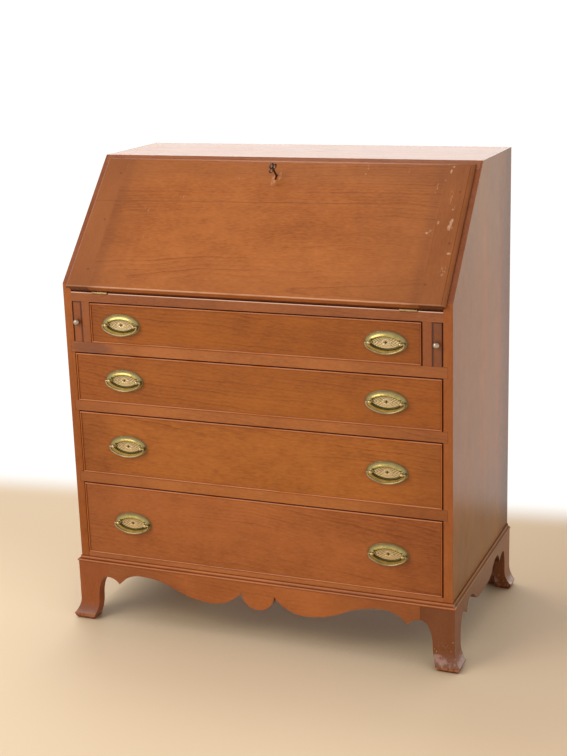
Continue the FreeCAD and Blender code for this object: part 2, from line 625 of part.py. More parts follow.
def make_lid():
    """Fall front: clamped panel with a lipped thumbnail edge, hinges, lock, bolt and key."""
    thumb_low = f"({SEAT} + thumb_edge)"
    thumb_top = "(lid_thick - thumb_quirk)"
    thumb = rising_radius("thumb_wide", f"{thumb_top} - {thumb_low}")

    def lipped(body, lip):
        """The moulded edge from the inner face round the lip to the outer face."""
        return [(body, "0"), (body, SEAT), (lip, SEAT), (lip, thumb_low),
                (f"{lip} - thumb_wide", thumb_top), (f"{lip} - thumb_wide", "lid_thick")]

    up_section = [("lid_gap", "0")] + lipped(LID_END, LIP_END)
    up_section += [("lid_gap + lid_round", "lid_thick"), ("lid_gap", "lid_thick - lid_round")]
    up_arcs = {4: (thumb, 1), 7: ("lid_round", 1)}
    side_section = [(CLEAT_IN, "0")] + lipped(f"({INNER} - lid_side_gap)", LIP_OUT)
    side_section += [(CLEAT_IN, "lid_thick")]
    end = f"{CLEAT_IN} + tongue_long"
    tongue_low = "(lid_thick - tongue_thick) / 2"
    tongue = box("tongue", (minus(end), "lid_gap + lid_round", tongue_low),
                 (end, LID_END, f"{tongue_low} + tongue_thick"), front="0")
    cleat = common(
        "cleat_whole",
        prism("cleat_across", "XZ", "lid_gap", LIP_END, side_section, {4: (thumb, 1)}, front="0"),
        prism("cleat_along", "YZ", CLEAT_IN, LIP_OUT, up_section, up_arcs, front="0"))
    field = prism("panel_field", "YZ", minus(CLEAT_IN), CLEAT_IN, up_section, up_arcs, front="0")
    field = fuse("panel_tongued", field, tongue)

    # Hinges, made at the right and mirrored; the axis is the frame's x axis
    left, right = f"({HINGE_OUT} - hinge_wide / 2)", f"({HINGE_OUT} + hinge_wide / 2)"
    third = "(hinge_wide / 3)"
    clear = "(knuckle_radius + knuckle_gap)"
    spans = [(left, f"{left} + {third} - knuckle_gap / 2"),
             (f"{left} + {third} + knuckle_gap / 2", f"{right} - {third} - knuckle_gap / 2"),
             (f"{right} - {third} + knuckle_gap / 2", right)]
    axis = ("0", "0")
    pin = rod("hinge_pin", "x", "pin_radius", left, right, axis, front="0")
    loose = rod("hinge_bore", "x", "pin_radius + pivot_fit", left, right, axis, front="0")
    room = rod("hinge_room", "x", clear, f"{left} - knuckle_gap", f"{right} + knuckle_gap", axis, front="0")

    def leaf(name, low, high, knuckles, bore):
        pieces = [box(f"{name}_plate", (left, clear, low), (right, "leaf_deep", high), front="0")]
        for count, (start, stop) in enumerate(knuckles):
            pieces.append(box(f"{name}_web{count}", (start, "0", low), (stop, clear, high), front="0"))
            pieces.append(rod(f"{name}_barrel{count}", "x", "knuckle_radius", start, stop, axis, front="0"))
        return cut(name, fuse(f"{name}_whole", *pieces), bore)

    lid_leaf = leaf("lid_leaf", "0", "leaf_thick", spans[1:2], loose)
    case_leaf = leaf("case_leaf", minus("leaf_thick"), "0", spans[::2], pin)
    recess = box("lid_recess", (left, "0", "0"), (right, "leaf_deep", "leaf_thick"), front="0")
    bed_recess = box("bed_recess", (left, "0", minus("leaf_thick")), (right, "leaf_deep", "0"), front="0")
    hinge_sides = pair("hinge_fixed", group("hinge_right", case_leaf, pin))
    node("hinge_case_leaves", place(hinge_sides, "0", FRONT, BED_TOP))
    room_pair = pair("hinge_rooms", fuse("lid_hinge_room", recess, room))
    bed_room = place(pair("bed_rooms", fuse("bed_hinge_room", bed_recess, room)), "0", FRONT, BED_TOP)
    bed = box("bed", (minus(INNER), "0", BED_LOW), (INNER, BACK, BED_TOP))
    node("desk_bed", cut("desk_bed", bed, bed_room))

    # Lock let into the panel's inner face at its top edge
    middle = "-lock_left"
    case_low = (f"{middle} - lock_wide / 2", f"{LID_END} - lock_high", "0")
    case_high = (f"{middle} + lock_wide / 2", LID_END, "lock_deep")
    shell = box("lock_shell", case_low, case_high, front="0")
    hollow = box("lock_hollow", [f"{text} + lock_wall" for text in case_low],
                 [f"{text} - lock_wall" for text in case_high], front="0")
    bolt_low = "lock_wall + bolt_fit"
    bolt_high = f"{bolt_low} + bolt_thick"
    wide = "bolt_wide / 2"
    slot_half = f"({wide} + bolt_fit)"
    slot = box("bolt_slot", (f"{middle} - {slot_half}", f"{LID_END} - 2 * lock_wall", "lock_wall"),
               (f"{middle} + {slot_half}", f"{LID_END} + overrun", f"{bolt_high} + bolt_fit"), front="0")
    eye = rod("lock_eye", "z", "key_radius + pivot_fit", "lock_deep / 2", "lock_deep + overrun",
              (middle, KEY_UP), front="0")
    hole = rod("keyhole_round", "z", "keyhole_radius", "lock_deep / 2", "lid_thick + overrun",
               (middle, KEY_UP), front="0")
    slit = box("keyhole_slit", (f"{middle} - slot_wide / 2", f"{KEY_UP} - slot_long", "lock_deep / 2"),
               (f"{middle} + slot_wide / 2", KEY_UP, "lid_thick + overrun"), front="0")
    lock_room = box("lock_room", case_low, (case_high[0], f"{LID_END} + overrun", "lock_deep"), front="0")
    node("lock_case", on_lid(group("lock_case", cut("lock", shell, hollow, slot, eye))))
    bolt = box("bolt", (f"{middle} - {wide}", f"{LID_END} - bolt_long", bolt_low),
               (f"{middle} + {wide}", LID_END, bolt_high), front="0")
    node("lock_bolt", on_lid(group("lock_bolt", bolt)))

    # Key along +z: shank, bit below the plate of the lock, and a bow of three rings
    bit_high = "lock_deep - lock_wall - bolt_fit"
    bit_low = f"{bit_high} - bit_wide"
    tip = "(lid_thick + key_out)"
    ring_up = f"{tip} + bow_ring"
    spots = [("bow_ring", ring_up), ("-bow_ring", ring_up), ("0", f"{ring_up} + bow_ring * sqrt(3)")]
    rings, holes = [], []
    for count, spot in enumerate(spots):
        rings.append(rod(f"bow{count}", "y", "bow_ring + bow_thick / 4", "-bow_thick / 2", "bow_thick / 2",
                         spot, front="0"))
        holes.append(rod(f"bow_hole{count}", "y", "bow_hole", "-bow_thick", "bow_thick", spot, front="0"))
    shank = rod("key_shank", "z", "key_radius", bit_low, f"{ring_up} - bow_ring / 2", ("0", "0"), front="0")
    bit = box("key_bit", ("0", "-bit_thick / 2", bit_low), ("bit_reach", "bit_thick / 2", bit_high),
              front="0")
    key = cut("key_whole", fuse("key_blank", shank, bit, *rings), *holes)
    turned = group("key_turned", key)
    turned.Placement = FreeCAD.Placement(FreeCAD.Vector(), FreeCAD.Rotation(FreeCAD.Vector(0, 0, 1), 1))
    turned.setExpression("Placement.Rotation.Angle", bound("key_angle"))
    place(turned, middle, KEY_UP, "0")
    node("key", on_lid(group("key", turned)))

    panel = cut("panel", field, room_pair, lock_room, hole, slit)
    node("lid_panel", on_lid(group("lid_panel", panel)))
    node("lid_cleats", on_lid(pair("lid_cleats", cut("cleat", cleat, tongue))))
    node("hinge_lid_leaves", on_lid(pair("hinge_lid_leaves", lid_leaf)))


def make_lopers():
    """Two pull-out supports of the fall front, each with a turned knob."""
    low = (f"{GUIDE} + divider_thick + loper_fit", "0", f"{FLOORS[3]} + drawer_rest")
    high = (f"{INNER} - loper_gap", f"{BACK} - loper_back_gap", f"{BED_LOW} - loper_fit")
    bar = box("loper_bar", low, high)
    spot = (f"{INNER} - (loper_slot - loper_fit + loper_gap) / 2", "0", f"{FLOORS[3]} + drawer_one / 2")
    turning = facing_front(knob("loper_turning", "knob_radius", "knob_long"), *spot)
    right = node("loper_right", cut("loper", bar, turning))
    node("loper_left", mirrored("loper_left", right))
    node("loper_knob_right", turning)
    node("loper_knob_left", mirrored("loper_knob_left", turning))


def make_gallery():
    """Pigeonholes with arched valances over three small drawers, behind the fall front."""
    shelf_low = f"({BED_TOP} + small_high)"
    shelf_high = f"({shelf_low} + shelf_thick)"
    pitch = f"(2 * {INNER} / {PIGEONHOLES})"
    neck = f"({TOP_LOW} - valance_deep)"
    scoop = rising_radius(f"({neck} - {shelf_high}) / 2", "wall_scoop")
    walls = [box("shelf", (minus(INNER), GALLERY, shelf_low), (INNER, BACK, shelf_high))]
    valances = []
    edges = []
    for bay in range(PIGEONHOLES + 1):
        x = f"({bay} * {pitch} - {INNER})"
        inside = 0 < bay < PIGEONHOLES
        edges.append((f"({x} - shelf_thick / 2)", f"({x} + shelf_thick / 2)") if inside else (x, x))
        left, right = edges[bay]
        if inside:
            outline = [(GALLERY, shelf_high), (BACK, shelf_high), (BACK, TOP_LOW), (GALLERY, TOP_LOW),
                       (GALLERY, neck)]
            walls.append(prism(f"wall{bay}", "YZ", left, right, outline, {4: (scoop, -1)}))
        if inside and bay % 2 == 0:
            walls.append(box(f"drawer_wall{bay}", (left, GALLERY, BED_TOP), (right, BACK, shelf_low)))
    node("gallery_partitions", group("partitions", *walls))

    for bay in range(PIGEONHOLES):
        start, end = edges[bay][1], edges[bay + 1][0]
        low = f"{TOP_LOW} - valance_deep"
        half = f"(({end} - {start}) / 2 - valance_inset)"
        points = [(start, TOP_LOW), (start, low), (f"{start} + valance_inset", low),
                  (f"({start} + {end}) / 2", f"{low} + valance_arch"),
                  (f"{end} - valance_inset", low), (end, low), (end, TOP_LOW)]
        arch = rising_radius(half, "valance_arch")
        valances.append(prism(f"valance{bay}", "XZ", f"{GALLERY} + valance_inset",
                              f"{GALLERY} + valance_inset + valance_thick", points,
                              {2: (arch, -1), 3: (arch, -1)}))
    node("gallery_valances", group("valances", *valances))

    for count, side in enumerate(("left", "middle", "right")):
        name = f"gallery_drawer_{side}"
        start = f"({edges[2 * count][1]} + small_gap)"
        end = f"({edges[2 * count + 2][0]} - small_gap)"
        low = f"({BED_TOP} + drawer_rest)"
        high = f"({shelf_low} - small_gap)"
        face = f"({GALLERY} + small_gap)"
        back = f"({BACK} - small_back_gap)"
        bottom_low = f"({low} + small_lift)"
        bottom_high = f"({bottom_low} + small_bottom)"
        edge = "small_side - small_groove"
        bottom = box(f"{name}_bottom",
                     (f"{start} + {edge}", f"{face} + small_front - small_groove", bottom_low),
                     (f"{end} - ({edge})", back, bottom_high))
        middle = f"(({start} + {end}) / 2)"
        spot = (middle, face, f"(({low} + {high}) / 2)")
        turning = facing_front(knob(f"{name}_turning", "small_knob_radius", "small_knob_long"), *spot)
        board = box(f"{name}_board", (start, face, low), (end, f"{face} + small_front", high))
        rear = f"{face} + small_front"
        sides = []
        for tag, near, far in (("a", start, f"{start} + small_side"), ("b", f"{end} - small_side", end)):
            wall = box(f"{name}_wall_{tag}", (near, rear, low), (far, back, f"{high} - small_drop"))
            sides.append(cut(f"{name}_side_{tag}", wall, bottom))
        tail = box(f"{name}_tail", (f"{start} + small_side", f"{back} - small_back", bottom_high),
                   (f"{end} - small_side", back, f"{high} - 2 * small_drop"))
        node(name, group(name, cut(f"{name}_front", board, bottom, turning), *sides, tail, bottom))
        node(f"gallery_knob_{side}", turning)


make_case()
make_base()
hardware = make_pull()
make_drawer(1, "drawer_one", GUIDE, FLOORS[3], 2, *hardware)
make_drawer(2, "drawer_two", INNER, FLOORS[2], 3, *hardware)
make_drawer(3, "drawer_three", INNER, FLOORS[1], 3, *hardware)
make_drawer(4, "drawer_four", INNER, FLOORS[0], 4, *hardware)
make_lid()
make_lopers()
make_gallery()
doc.recompute()

for piece in doc.Objects:
    if "Invalid" in piece.State or "Error" in piece.State:
        raise RuntimeError(f"{piece.Name} did not build: {piece.State}")
for label, piece in nodes.items():
    if piece.Shape.isNull() or not piece.Shape.isValid() or not piece.Shape.Solids:
        raise RuntimeError(f"{label} has no sound shape")

os.makedirs("parts", exist_ok=True)
for label, piece in nodes.items():
    piece.Shape.exportStep(f"parts/{label}.step")
print(len(nodes), "nodes,", sum(len(piece.Shape.Solids) for piece in nodes.values()), "solids")
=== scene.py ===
import json
import math

import bmesh
import bpy
from mathutils import Matrix, Vector, noise


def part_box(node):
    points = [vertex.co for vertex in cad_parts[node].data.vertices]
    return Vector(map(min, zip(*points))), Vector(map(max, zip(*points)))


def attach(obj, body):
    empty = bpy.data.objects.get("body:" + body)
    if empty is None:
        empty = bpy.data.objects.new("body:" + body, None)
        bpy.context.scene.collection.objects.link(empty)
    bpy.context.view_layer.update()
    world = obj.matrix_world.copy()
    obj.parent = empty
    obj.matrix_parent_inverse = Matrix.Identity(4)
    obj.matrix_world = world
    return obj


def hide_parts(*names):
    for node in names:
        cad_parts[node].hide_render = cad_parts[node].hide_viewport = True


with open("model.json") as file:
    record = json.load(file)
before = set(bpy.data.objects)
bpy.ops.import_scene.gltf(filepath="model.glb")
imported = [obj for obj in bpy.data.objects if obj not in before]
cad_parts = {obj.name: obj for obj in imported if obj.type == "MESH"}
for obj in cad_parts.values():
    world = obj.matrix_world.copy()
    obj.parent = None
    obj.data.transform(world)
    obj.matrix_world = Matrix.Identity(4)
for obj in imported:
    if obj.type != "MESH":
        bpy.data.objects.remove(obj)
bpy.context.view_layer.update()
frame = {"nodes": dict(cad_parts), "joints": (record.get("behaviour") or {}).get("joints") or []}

# Slant-front writing desk in satin cherry with oval brass pulls.
# Metres, floor at z = 0, x to the right, front towards -y. Tables of small things are in millimetres.

MM = 0.001
JOINTS = {joint["name"]: joint for joint in frame["joints"]}
HINGE = Vector(JOINTS["lid_hinge"]["pos_m"])
FRONT = HINGE.y
KEY_AXIS = Vector(JOINTS["key_turn"]["axis"])
SLOPE = math.atan2(-KEY_AXIS.y, KEY_AXIS.z)
LID = Matrix.Translation(HINGE) @ Matrix.Rotation(SLOPE, 4, "X")
DRAWERS = range(1, 5)
SIDES = ("left", "right")
GALLERY = ("left", "middle", "right")


# Node trees


class Graph:
    """One material's node tree, built socket by socket."""

    def __init__(self, name):
        self.material = bpy.data.materials.new(name)
        self.material.use_nodes = True
        self.nodes = self.material.node_tree.nodes
        self.links = self.material.node_tree.links
        self.shader = self.nodes["Principled BSDF"]

    def feed(self, socket, value):
        if isinstance(value, bpy.types.NodeSocket):
            self.links.new(value, socket)
        else:
            socket.default_value = value

    def set(self, name, value):
        self.feed(self.shader.inputs[name], value)

    def add(self, kind, inputs, out=0, **settings):
        """A node with its settings and inputs, by name or number; the chosen output comes back."""
        node = self.nodes.new(f"ShaderNode{kind}")
        for key, setting in settings.items():
            setattr(node, key, setting)
        for key, value in inputs.items():
            self.feed(node.inputs[key], value)
        return node.outputs[out]

    def math(self, operation, *values):
        return self.add("Math", dict(enumerate(values)), operation=operation)

    def vector(self, operation, *values, out=0):
        return self.add("VectorMath", dict(enumerate(values)), out, operation=operation)

    def split(self, place):
        node = self.nodes.new("ShaderNodeSeparateXYZ")
        self.feed(node.inputs[0], place)
        return {axis: node.outputs[axis.upper()] for axis in "xyz"}

    def noise(self, place, scale, detail=2.0, out=0):
        """Noise with its own scale along each axis, in features per metre."""
        spot = self.vector("MULTIPLY", place, scale)
        return self.add("TexNoise", {"Vector": spot, "Scale": 1.0, "Detail": detail}, out)

    def span(self, value, low, high, start=0.0, end=1.0):
        """A smooth step from start to end as the value goes from low to high."""
        inputs = {"Value": value, "From Min": low, "From Max": high, "To Min": start, "To Max": end}
        return self.add("MapRange", inputs, interpolation_type="SMOOTHSTEP")

    def mix(self, share, first, second, blend="MIX"):
        inputs = {0: share, 6: first, 7: second}
        return self.add("Mix", inputs, 2, data_type="RGBA", blend_type=blend)

    def tint(self, share, colour, tint):
        """The colour multiplied by a tint, where the share says so."""
        return self.mix(share, colour, self.mix(1.0, colour, tint, "MULTIPLY"))

    def normal(self):
        return self.add("TexCoord", {}, "Normal")

    def ramp(self, value, stops):
        node = self.nodes.new("ShaderNodeValToRGB")
        elements = node.color_ramp.elements
        while len(elements) < len(stops):
            elements.new(1.0)
        for element, (place, colour) in zip(elements, stops):
            element.position = place
            element.color = colour
        self.feed(node.inputs[0], value)
        return node.outputs[0]

    def bump(self, height, distance, strength=1.0):
        self.set("Normal", self.add("Bump", {"Height": height, "Distance": distance, "Strength": strength}))


def rgb(red, green, blue):
    return (red, green, blue, 1.0)


def tinted(colour, red, green, blue):
    return rgb(colour[0] * red, colour[1] * green, colour[2] * blue)


# Wood

# Distances between growth rings, the tilt of the log and how far the grain wanders
RING = 0.009
YEAR = 0.027
LOG_TILT = 0.07
WANDER = 0.06
# How far from a corner dust, old polish and painted shade gather, the depth of the surface's texture and that of a
# facing strip
DUST_AND_SHADE_REACH = 9 * MM
TEXTURE_DEPTH = 0.0001
CAP_DEPTH = 12 * MM


def board_place(graph, sloped):
    """The place in the desk's own frame, or in the fall front's: across, up the slope, outwards."""
    place = graph.add("TexCoord", {}, "Object")
    if sloped:
        place = graph.add("Mapping", {"Vector": place, "Location": HINGE, "Rotation": (SLOPE, 0, 0)},
                          vector_type="TEXTURE")
    return place


def along_across(graph, place, order):
    """Coordinates along the grain, across it and through the board."""
    parts = graph.split(place)
    return graph.add("CombineXYZ", {slot: parts[axis] for slot, axis in enumerate(order)})


def grain_axis(order, sloped):
    axis = Vector([1.0 if letter == order[0] else 0.0 for letter in "xyz"])
    return Matrix.Rotation(SLOPE, 3, "X") @ axis if sloped else axis


def wood(name, order, base, seed, sloped=False, figure=1.0, gloss=0.36, sheen=0.35, ends=0.45, swell=1.0,
         cap=None, marks=None):
    """Satin-finished wood: growth rings cut by a tilted log, streaks, flecks, mottle and soft blotches.

    cap is the grain of a strip that faces the front of the board, ends is how dark the end grain is,
    and swell is how much the surface waves. Dust and old polish darken the crevices, together with painted shade in
    every corner, gap and recess."""
    graph = Graph(name)
    place = board_place(graph, sloped)
    board = along_across(graph, place, order)
    if cap:
        facing = graph.math("LESS_THAN", graph.split(place)["y"], FRONT + CAP_DEPTH)
        strip = along_across(graph, place, cap)
        board = graph.add("Mix", {0: facing, 4: board, 5: strip}, 1, data_type="VECTOR")
    spot = graph.vector("ADD", board, seed)
    sway = graph.noise(spot, (2.2, 9.0, 9.0), 4.0, 1)
    sway = graph.vector("MULTIPLY", graph.vector("SUBTRACT", sway, (0.5, 0.5, 0.5)), (0.0, WANDER, WANDER))
    swayed = graph.split(graph.vector("ADD", spot, sway))
    depth = graph.math("MULTIPLY_ADD", swayed["x"], LOG_TILT, swayed["z"])
    radius = graph.vector("LENGTH", graph.add("CombineXYZ", {1: swayed["y"], 2: depth}), out=1)
    ring = graph.math("FRACT", graph.math("DIVIDE", radius, RING))
    late = graph.math("MULTIPLY", graph.span(ring, 0.1, 0.8), graph.span(ring, 0.8, 1.0, 1.0, 0.0))
    fade = graph.span(graph.noise(spot, (1.6, 10.0, 10.0), 2.0), 0.35, 0.65)
    late = graph.math("MULTIPLY", late, fade)
    year = graph.math("FRACT", graph.math("DIVIDE", radius, YEAR))
    line = graph.math("MULTIPLY", graph.span(year, 0.88, 0.96), graph.span(year, 0.96, 1.0, 1.0, 0.0))
    line = graph.math("MULTIPLY", line, fade)
    streak = graph.noise(spot, (2.0, 60.0, 60.0), 3.0)
    fleck = graph.noise(spot, (70.0, 400.0, 400.0), 2.0)
    curl = graph.noise(spot, (110.0, 220.0, 220.0), 3.0)
    mottle = graph.noise(spot, (22.0, 34.0, 34.0), 4.0)
    pore = graph.noise(spot, (45.0, 1300.0, 1300.0), 2.0)
    blotch = graph.noise(spot, (2.4, 6.0, 6.0), 4.0)
    tone = graph.math("MULTIPLY_ADD", late, -0.10 * figure, 0.52)
    tone = graph.math("MULTIPLY_ADD", line, -0.17 * figure, tone)
    for part, weight in ((streak, 0.15 * figure), (fleck, 0.42 * figure), (curl, 0.26), (mottle, 0.34),
                         (pore, 0.24), (blotch, 0.80)):
        tone = graph.math("MULTIPLY_ADD", graph.math("SUBTRACT", part, 0.5), weight, tone)
    colour = graph.ramp(tone, [(0.15, tinted(base, 0.62, 0.52, 0.40)), (0.5, base),
                               (0.85, tinted(base, 1.30, 1.40, 1.60))])
    if not cap:
        along = graph.vector("DOT_PRODUCT", graph.normal(), grain_axis(order, sloped), out=1)
        end_grain = graph.span(graph.math("ABSOLUTE", along), 0.8, 0.97)
        colour = graph.tint(end_grain, colour, rgb(ends, ends, ends))
    rough = graph.math("MULTIPLY_ADD", graph.math("SUBTRACT", blotch, 0.5), 0.12, gloss)
    rough = graph.math("MULTIPLY_ADD", graph.math("SUBTRACT", pore, 0.5), 0.14, rough)
    if marks:
        colour, rough = marks(graph, place, colour, rough)
    # Ambient occlusion darkens corners, gaps and recesses: real dust and old polish, and painted shade where shade
    # falls
    open_air = graph.add("AmbientOcclusion", {"Distance": DUST_AND_SHADE_REACH}, "AO", samples=8)
    dust_and_shade = graph.span(open_air, 0.25, 0.9, 0.9, 0.0)
    colour = graph.mix(dust_and_shade, colour, tinted(base, 0.70, 0.24, 0.15))
    rough = graph.math("MULTIPLY_ADD", dust_and_shade, 0.5, rough)
    graph.set("Base Color", colour)
    graph.set("Roughness", rough)
    graph.set("Specular IOR Level", sheen)
    graph.bump(graph.math("MULTIPLY_ADD", streak, swell, pore), TEXTURE_DEPTH)
    return graph.material


def mark_mask(graph, flat, marks):
    """Soft-edged ovals at (x, y, half width, half height) in millimetres, joined by the greatest."""
    mask = 0.0
    for x, y, wide, high in marks:
        offset = graph.vector("SUBTRACT", flat, (x * MM, y * MM, 0.0))
        scaled = graph.vector("DIVIDE", offset, (wide * MM, high * MM, 1.0))
        oval = graph.span(graph.vector("LENGTH", scaled, out=1), 0.6, 1.1, 1.0, 0.0)
        mask = graph.math("MAXIMUM", mask, oval)
    return mask


# Marks of use on the fall front, as places across it and up its slope
PLUGS = [(-398, 183, 3.6, 3.6), (-398, 49, 3.6, 3.6), (-396, 312, 3.6, 3.6), (425, 153, 3.6, 3.6),
         (424, 282, 3.6, 3.6), (393, 51, 3.6, 3.6), (-299, 216, 2, 2), (-274, 138, 2, 2)]
CHIPS = [(398, 346, 4, 3), (396, 334, 3, 6), (391, 320, 2.5, 2.5), (387, 312, 2, 3), (420, 205, 5, 10),
         (419, 192, 7, 9), (391, 203, 3, 5), (378, 182, 3, 4), (372, 176, 5, 3), (428, 128, 5, 3)]
SCRAPES = [(422, 80, 9, 12), (424, 92, 6, 6), (408, 268, 5, 22), (418, 240, 4, 12), (372, 290, 4, 16),
           (207, 340, 2, 8), (205, 324, 2, 6), (313, 345, 2.5, 4), (302, 334, 3, 5), (150, 344, 5, 2),
           (-297, 216, 7, 2.5), (-296, 211, 4, 4), (-286, 138, 3, 5), (-90, 305, 14, 2), (-210, 250, 22, 2)]
KEY_WEAR = [(-10, 310, 4, 10), (5, 313, 4, 12), (-7, 295, 6, 9), (2, 299, 3, 6)]
# Painted shade, darker towards its edges: along this axis, from here, to there, how much
LID_EDGE_SHADE = [("x", -230, -430, 0.46), ("x", 170, 340, 0.28), ("y", 270, 330, 0.34), ("y", 110, 20, 0.16)]
# The glue line's height up the slope at the middle, and its rise to the right
GLUE_HEIGHT = 241.5 * MM
GLUE_RISE = 0.0155


def lid_marks(graph, place, colour, rough):
    """Marks of the outer face, then a painted highlight along its lower arris, patchy like rubbed wear, and the
    painted shadow of the gap under it.

    The face has a worn patch at the keyhole, dark seams, painted shade towards its edges, pale chips and scrapes,
    plugs and a glue line."""
    parts = graph.split(place)
    flat = graph.vector("MULTIPLY", place, (1.0, 1.0, 0.0))
    outside = graph.span(graph.vector("DOT_PRODUCT", graph.normal(), KEY_AXIS, out=1), 0.3, 0.6)

    def mark(places, ragged, low, high, share):
        mask = graph.math("MULTIPLY", mark_mask(graph, flat, places), graph.span(ragged, low, high))
        return graph.math("MULTIPLY", mask, graph.math("MULTIPLY", outside, share))

    ragged = graph.noise(place, (160.0, 90.0, 160.0), 4.0)
    hairs = graph.noise(place, (420.0, 150.0, 420.0), 3.0)
    wear = mark(KEY_WEAR, ragged, 0.35, 0.62, 0.55)
    colour = graph.mix(wear, colour, rgb(0.62, 0.30, 0.14))
    beside = graph.math("ABSOLUTE", parts["x"])
    seam = graph.math("MULTIPLY", graph.span(beside, 350 * MM, 378 * MM),
                      graph.span(beside, 380 * MM, 392 * MM, 0.34, 0.0))
    colour = graph.mix(seam, colour, rgb(0.15, 0.045, 0.014))
    # Painted shade towards the fall front's edges
    for axis, start, end, share in LID_EDGE_SHADE:
        aside = graph.span(parts[axis], start * MM, end * MM)
        colour = graph.mix(graph.math("MULTIPLY", aside, share), colour, rgb(0.20, 0.062, 0.018))
    colour = graph.mix(mark(CHIPS, ragged, 0.36, 0.58, 0.55), colour, rgb(0.66, 0.42, 0.26))
    colour = graph.mix(mark(SCRAPES, hairs, 0.50, 0.64, 0.5), colour, rgb(0.58, 0.31, 0.16))
    colour = graph.mix(mark(PLUGS, ragged, 0.0, 0.2, 0.45), colour, rgb(0.09, 0.032, 0.014))
    glue = graph.math("MULTIPLY_ADD", parts["x"], GLUE_RISE, GLUE_HEIGHT)
    glue = graph.math("ABSOLUTE", graph.math("SUBTRACT", parts["y"], glue))
    glue = graph.math("MULTIPLY", graph.span(glue, 0.8 * MM, 2.0 * MM, 0.42, 0.0),
                      graph.span(parts["x"], 0.15, 0.30, 1.0, 0.0))
    colour = graph.mix(graph.math("MULTIPLY", glue, outside), colour, rgb(0.17, 0.055, 0.018))
    # Painted highlight along the lower arris, patchy like rubbed wear
    worn = graph.span(graph.noise(place, (14.0, 14.0, 14.0), 3.0), 0.25, 0.55, 0.2, 0.55)
    worn = graph.math("MULTIPLY", worn, graph.span(beside, 340 * MM, 400 * MM, 1.0, 0.3))
    arris = graph.math("MULTIPLY", graph.span(parts["z"], 18.6 * MM, 19.4 * MM),
                       graph.span(parts["y"], 4.4 * MM, 5.6 * MM, 1.0, 0.0))
    colour = graph.mix(graph.math("MULTIPLY", arris, worn), colour, rgb(0.74, 0.42, 0.26))
    shadow = graph.math("MULTIPLY", graph.span(parts["z"], 5 * MM, 8 * MM, 0.85, 0.0),
                        graph.span(parts["y"], 3.5 * MM, 4.5 * MM, 1.0, 0.0))
    colour = graph.mix(shadow, colour, rgb(0.05, 0.013, 0.006))
    return colour, graph.math("MULTIPLY_ADD", wear, 0.35, rough)


def bed_marks(graph, place, colour, rough):
    """A painted highlight along the bed's front arris, patchy like rubbed wear."""
    parts = graph.split(place)
    worn = graph.span(graph.noise(place, (7.0, 7.0, 7.0), 3.0), 0.3, 0.5, 0.45, 0.85)
    # Painted highlight along the front arris, patchy like rubbed wear
    arris = graph.math("MULTIPLY", graph.span(parts["z"], HINGE.z - 2.4 * MM, HINGE.z - 1.6 * MM),
                       graph.span(parts["y"], FRONT + 0.6 * MM, FRONT + 1.4 * MM, 1.0, 0.0))
    return graph.mix(graph.math("MULTIPLY", arris, worn), colour, rgb(0.80, 0.52, 0.40)), rough


def front_facing(graph):
    """1 on faces towards the front, 0 on the others."""
    return graph.span(graph.split(graph.normal())["y"], -0.6, -0.3, 1.0, 0.0)


def front_tint(tint):
    """Front edges in a tint of their own."""
    def marks(graph, place, colour, rough):
        return graph.tint(front_facing(graph), colour, tint), rough
    return marks


def side_marks(graph, place, colour, rough):
    """Outer faces with broad greyish bands of painted reflection, greyer above and darker near the floor as a painted
    reflection of pale walls over a tan floor, and darker towards the back edge; front edges get a painted reflection
    and slanted edges painted shade.
    """
    parts = graph.split(place)
    normal = graph.normal()
    outward = graph.math("MULTIPLY", graph.split(normal)["x"], graph.math("SIGN", parts["x"]))
    outside = graph.span(outward, 0.3, 0.6)
    # Broad greyish bands: painted reflection
    painted_reflection_band = graph.span(graph.noise(place, (1.0, 13.0, 0.6), 2.0), 0.40, 0.60)
    painted_reflection_band = graph.math("MULTIPLY", painted_reflection_band, graph.math("MULTIPLY", outside, 0.4))
    colour = graph.mix(painted_reflection_band, colour, rgb(0.220, 0.105, 0.040))
    # Darker towards the back edge; darker near the floor and greyer above, a painted reflection of the tan floor and
    # the pale walls
    for axis, start, end, tint in (("y", FRONT + 380 * MM, FRONT + 500 * MM, rgb(0.57, 0.48, 0.40)),
                                   ("z", 0.45, 0.25, rgb(0.78, 0.86, 0.95)),
                                   ("z", 0.75, 1.0, rgb(1.05, 1.28, 1.9))):
        share = graph.math("MULTIPLY", graph.span(parts[axis], start, end), outside)
        colour = graph.tint(share, colour, tint)
    # Front edges lighter and bluer: painted reflection
    colour, rough = front_tint(rgb(1.15, 1.02, 1.35))(graph, place, colour, rough)
    # Slanted front edges darker and bluer: painted shade with a painted reflection
    sloping = graph.span(graph.vector("DOT_PRODUCT", normal, KEY_AXIS, out=1), 0.85, 0.95)
    return graph.tint(sloping, colour, rgb(0.74, 0.80, 1.25)), rough


def end_marks(start, end, tint):
    """Boards that darken towards both ends."""
    def marks(graph, place, colour, rough):
        aside = graph.span(graph.math("ABSOLUTE", graph.split(place)["x"]), start * MM, end * MM)
        return graph.tint(aside, colour, tint), rough
    return marks


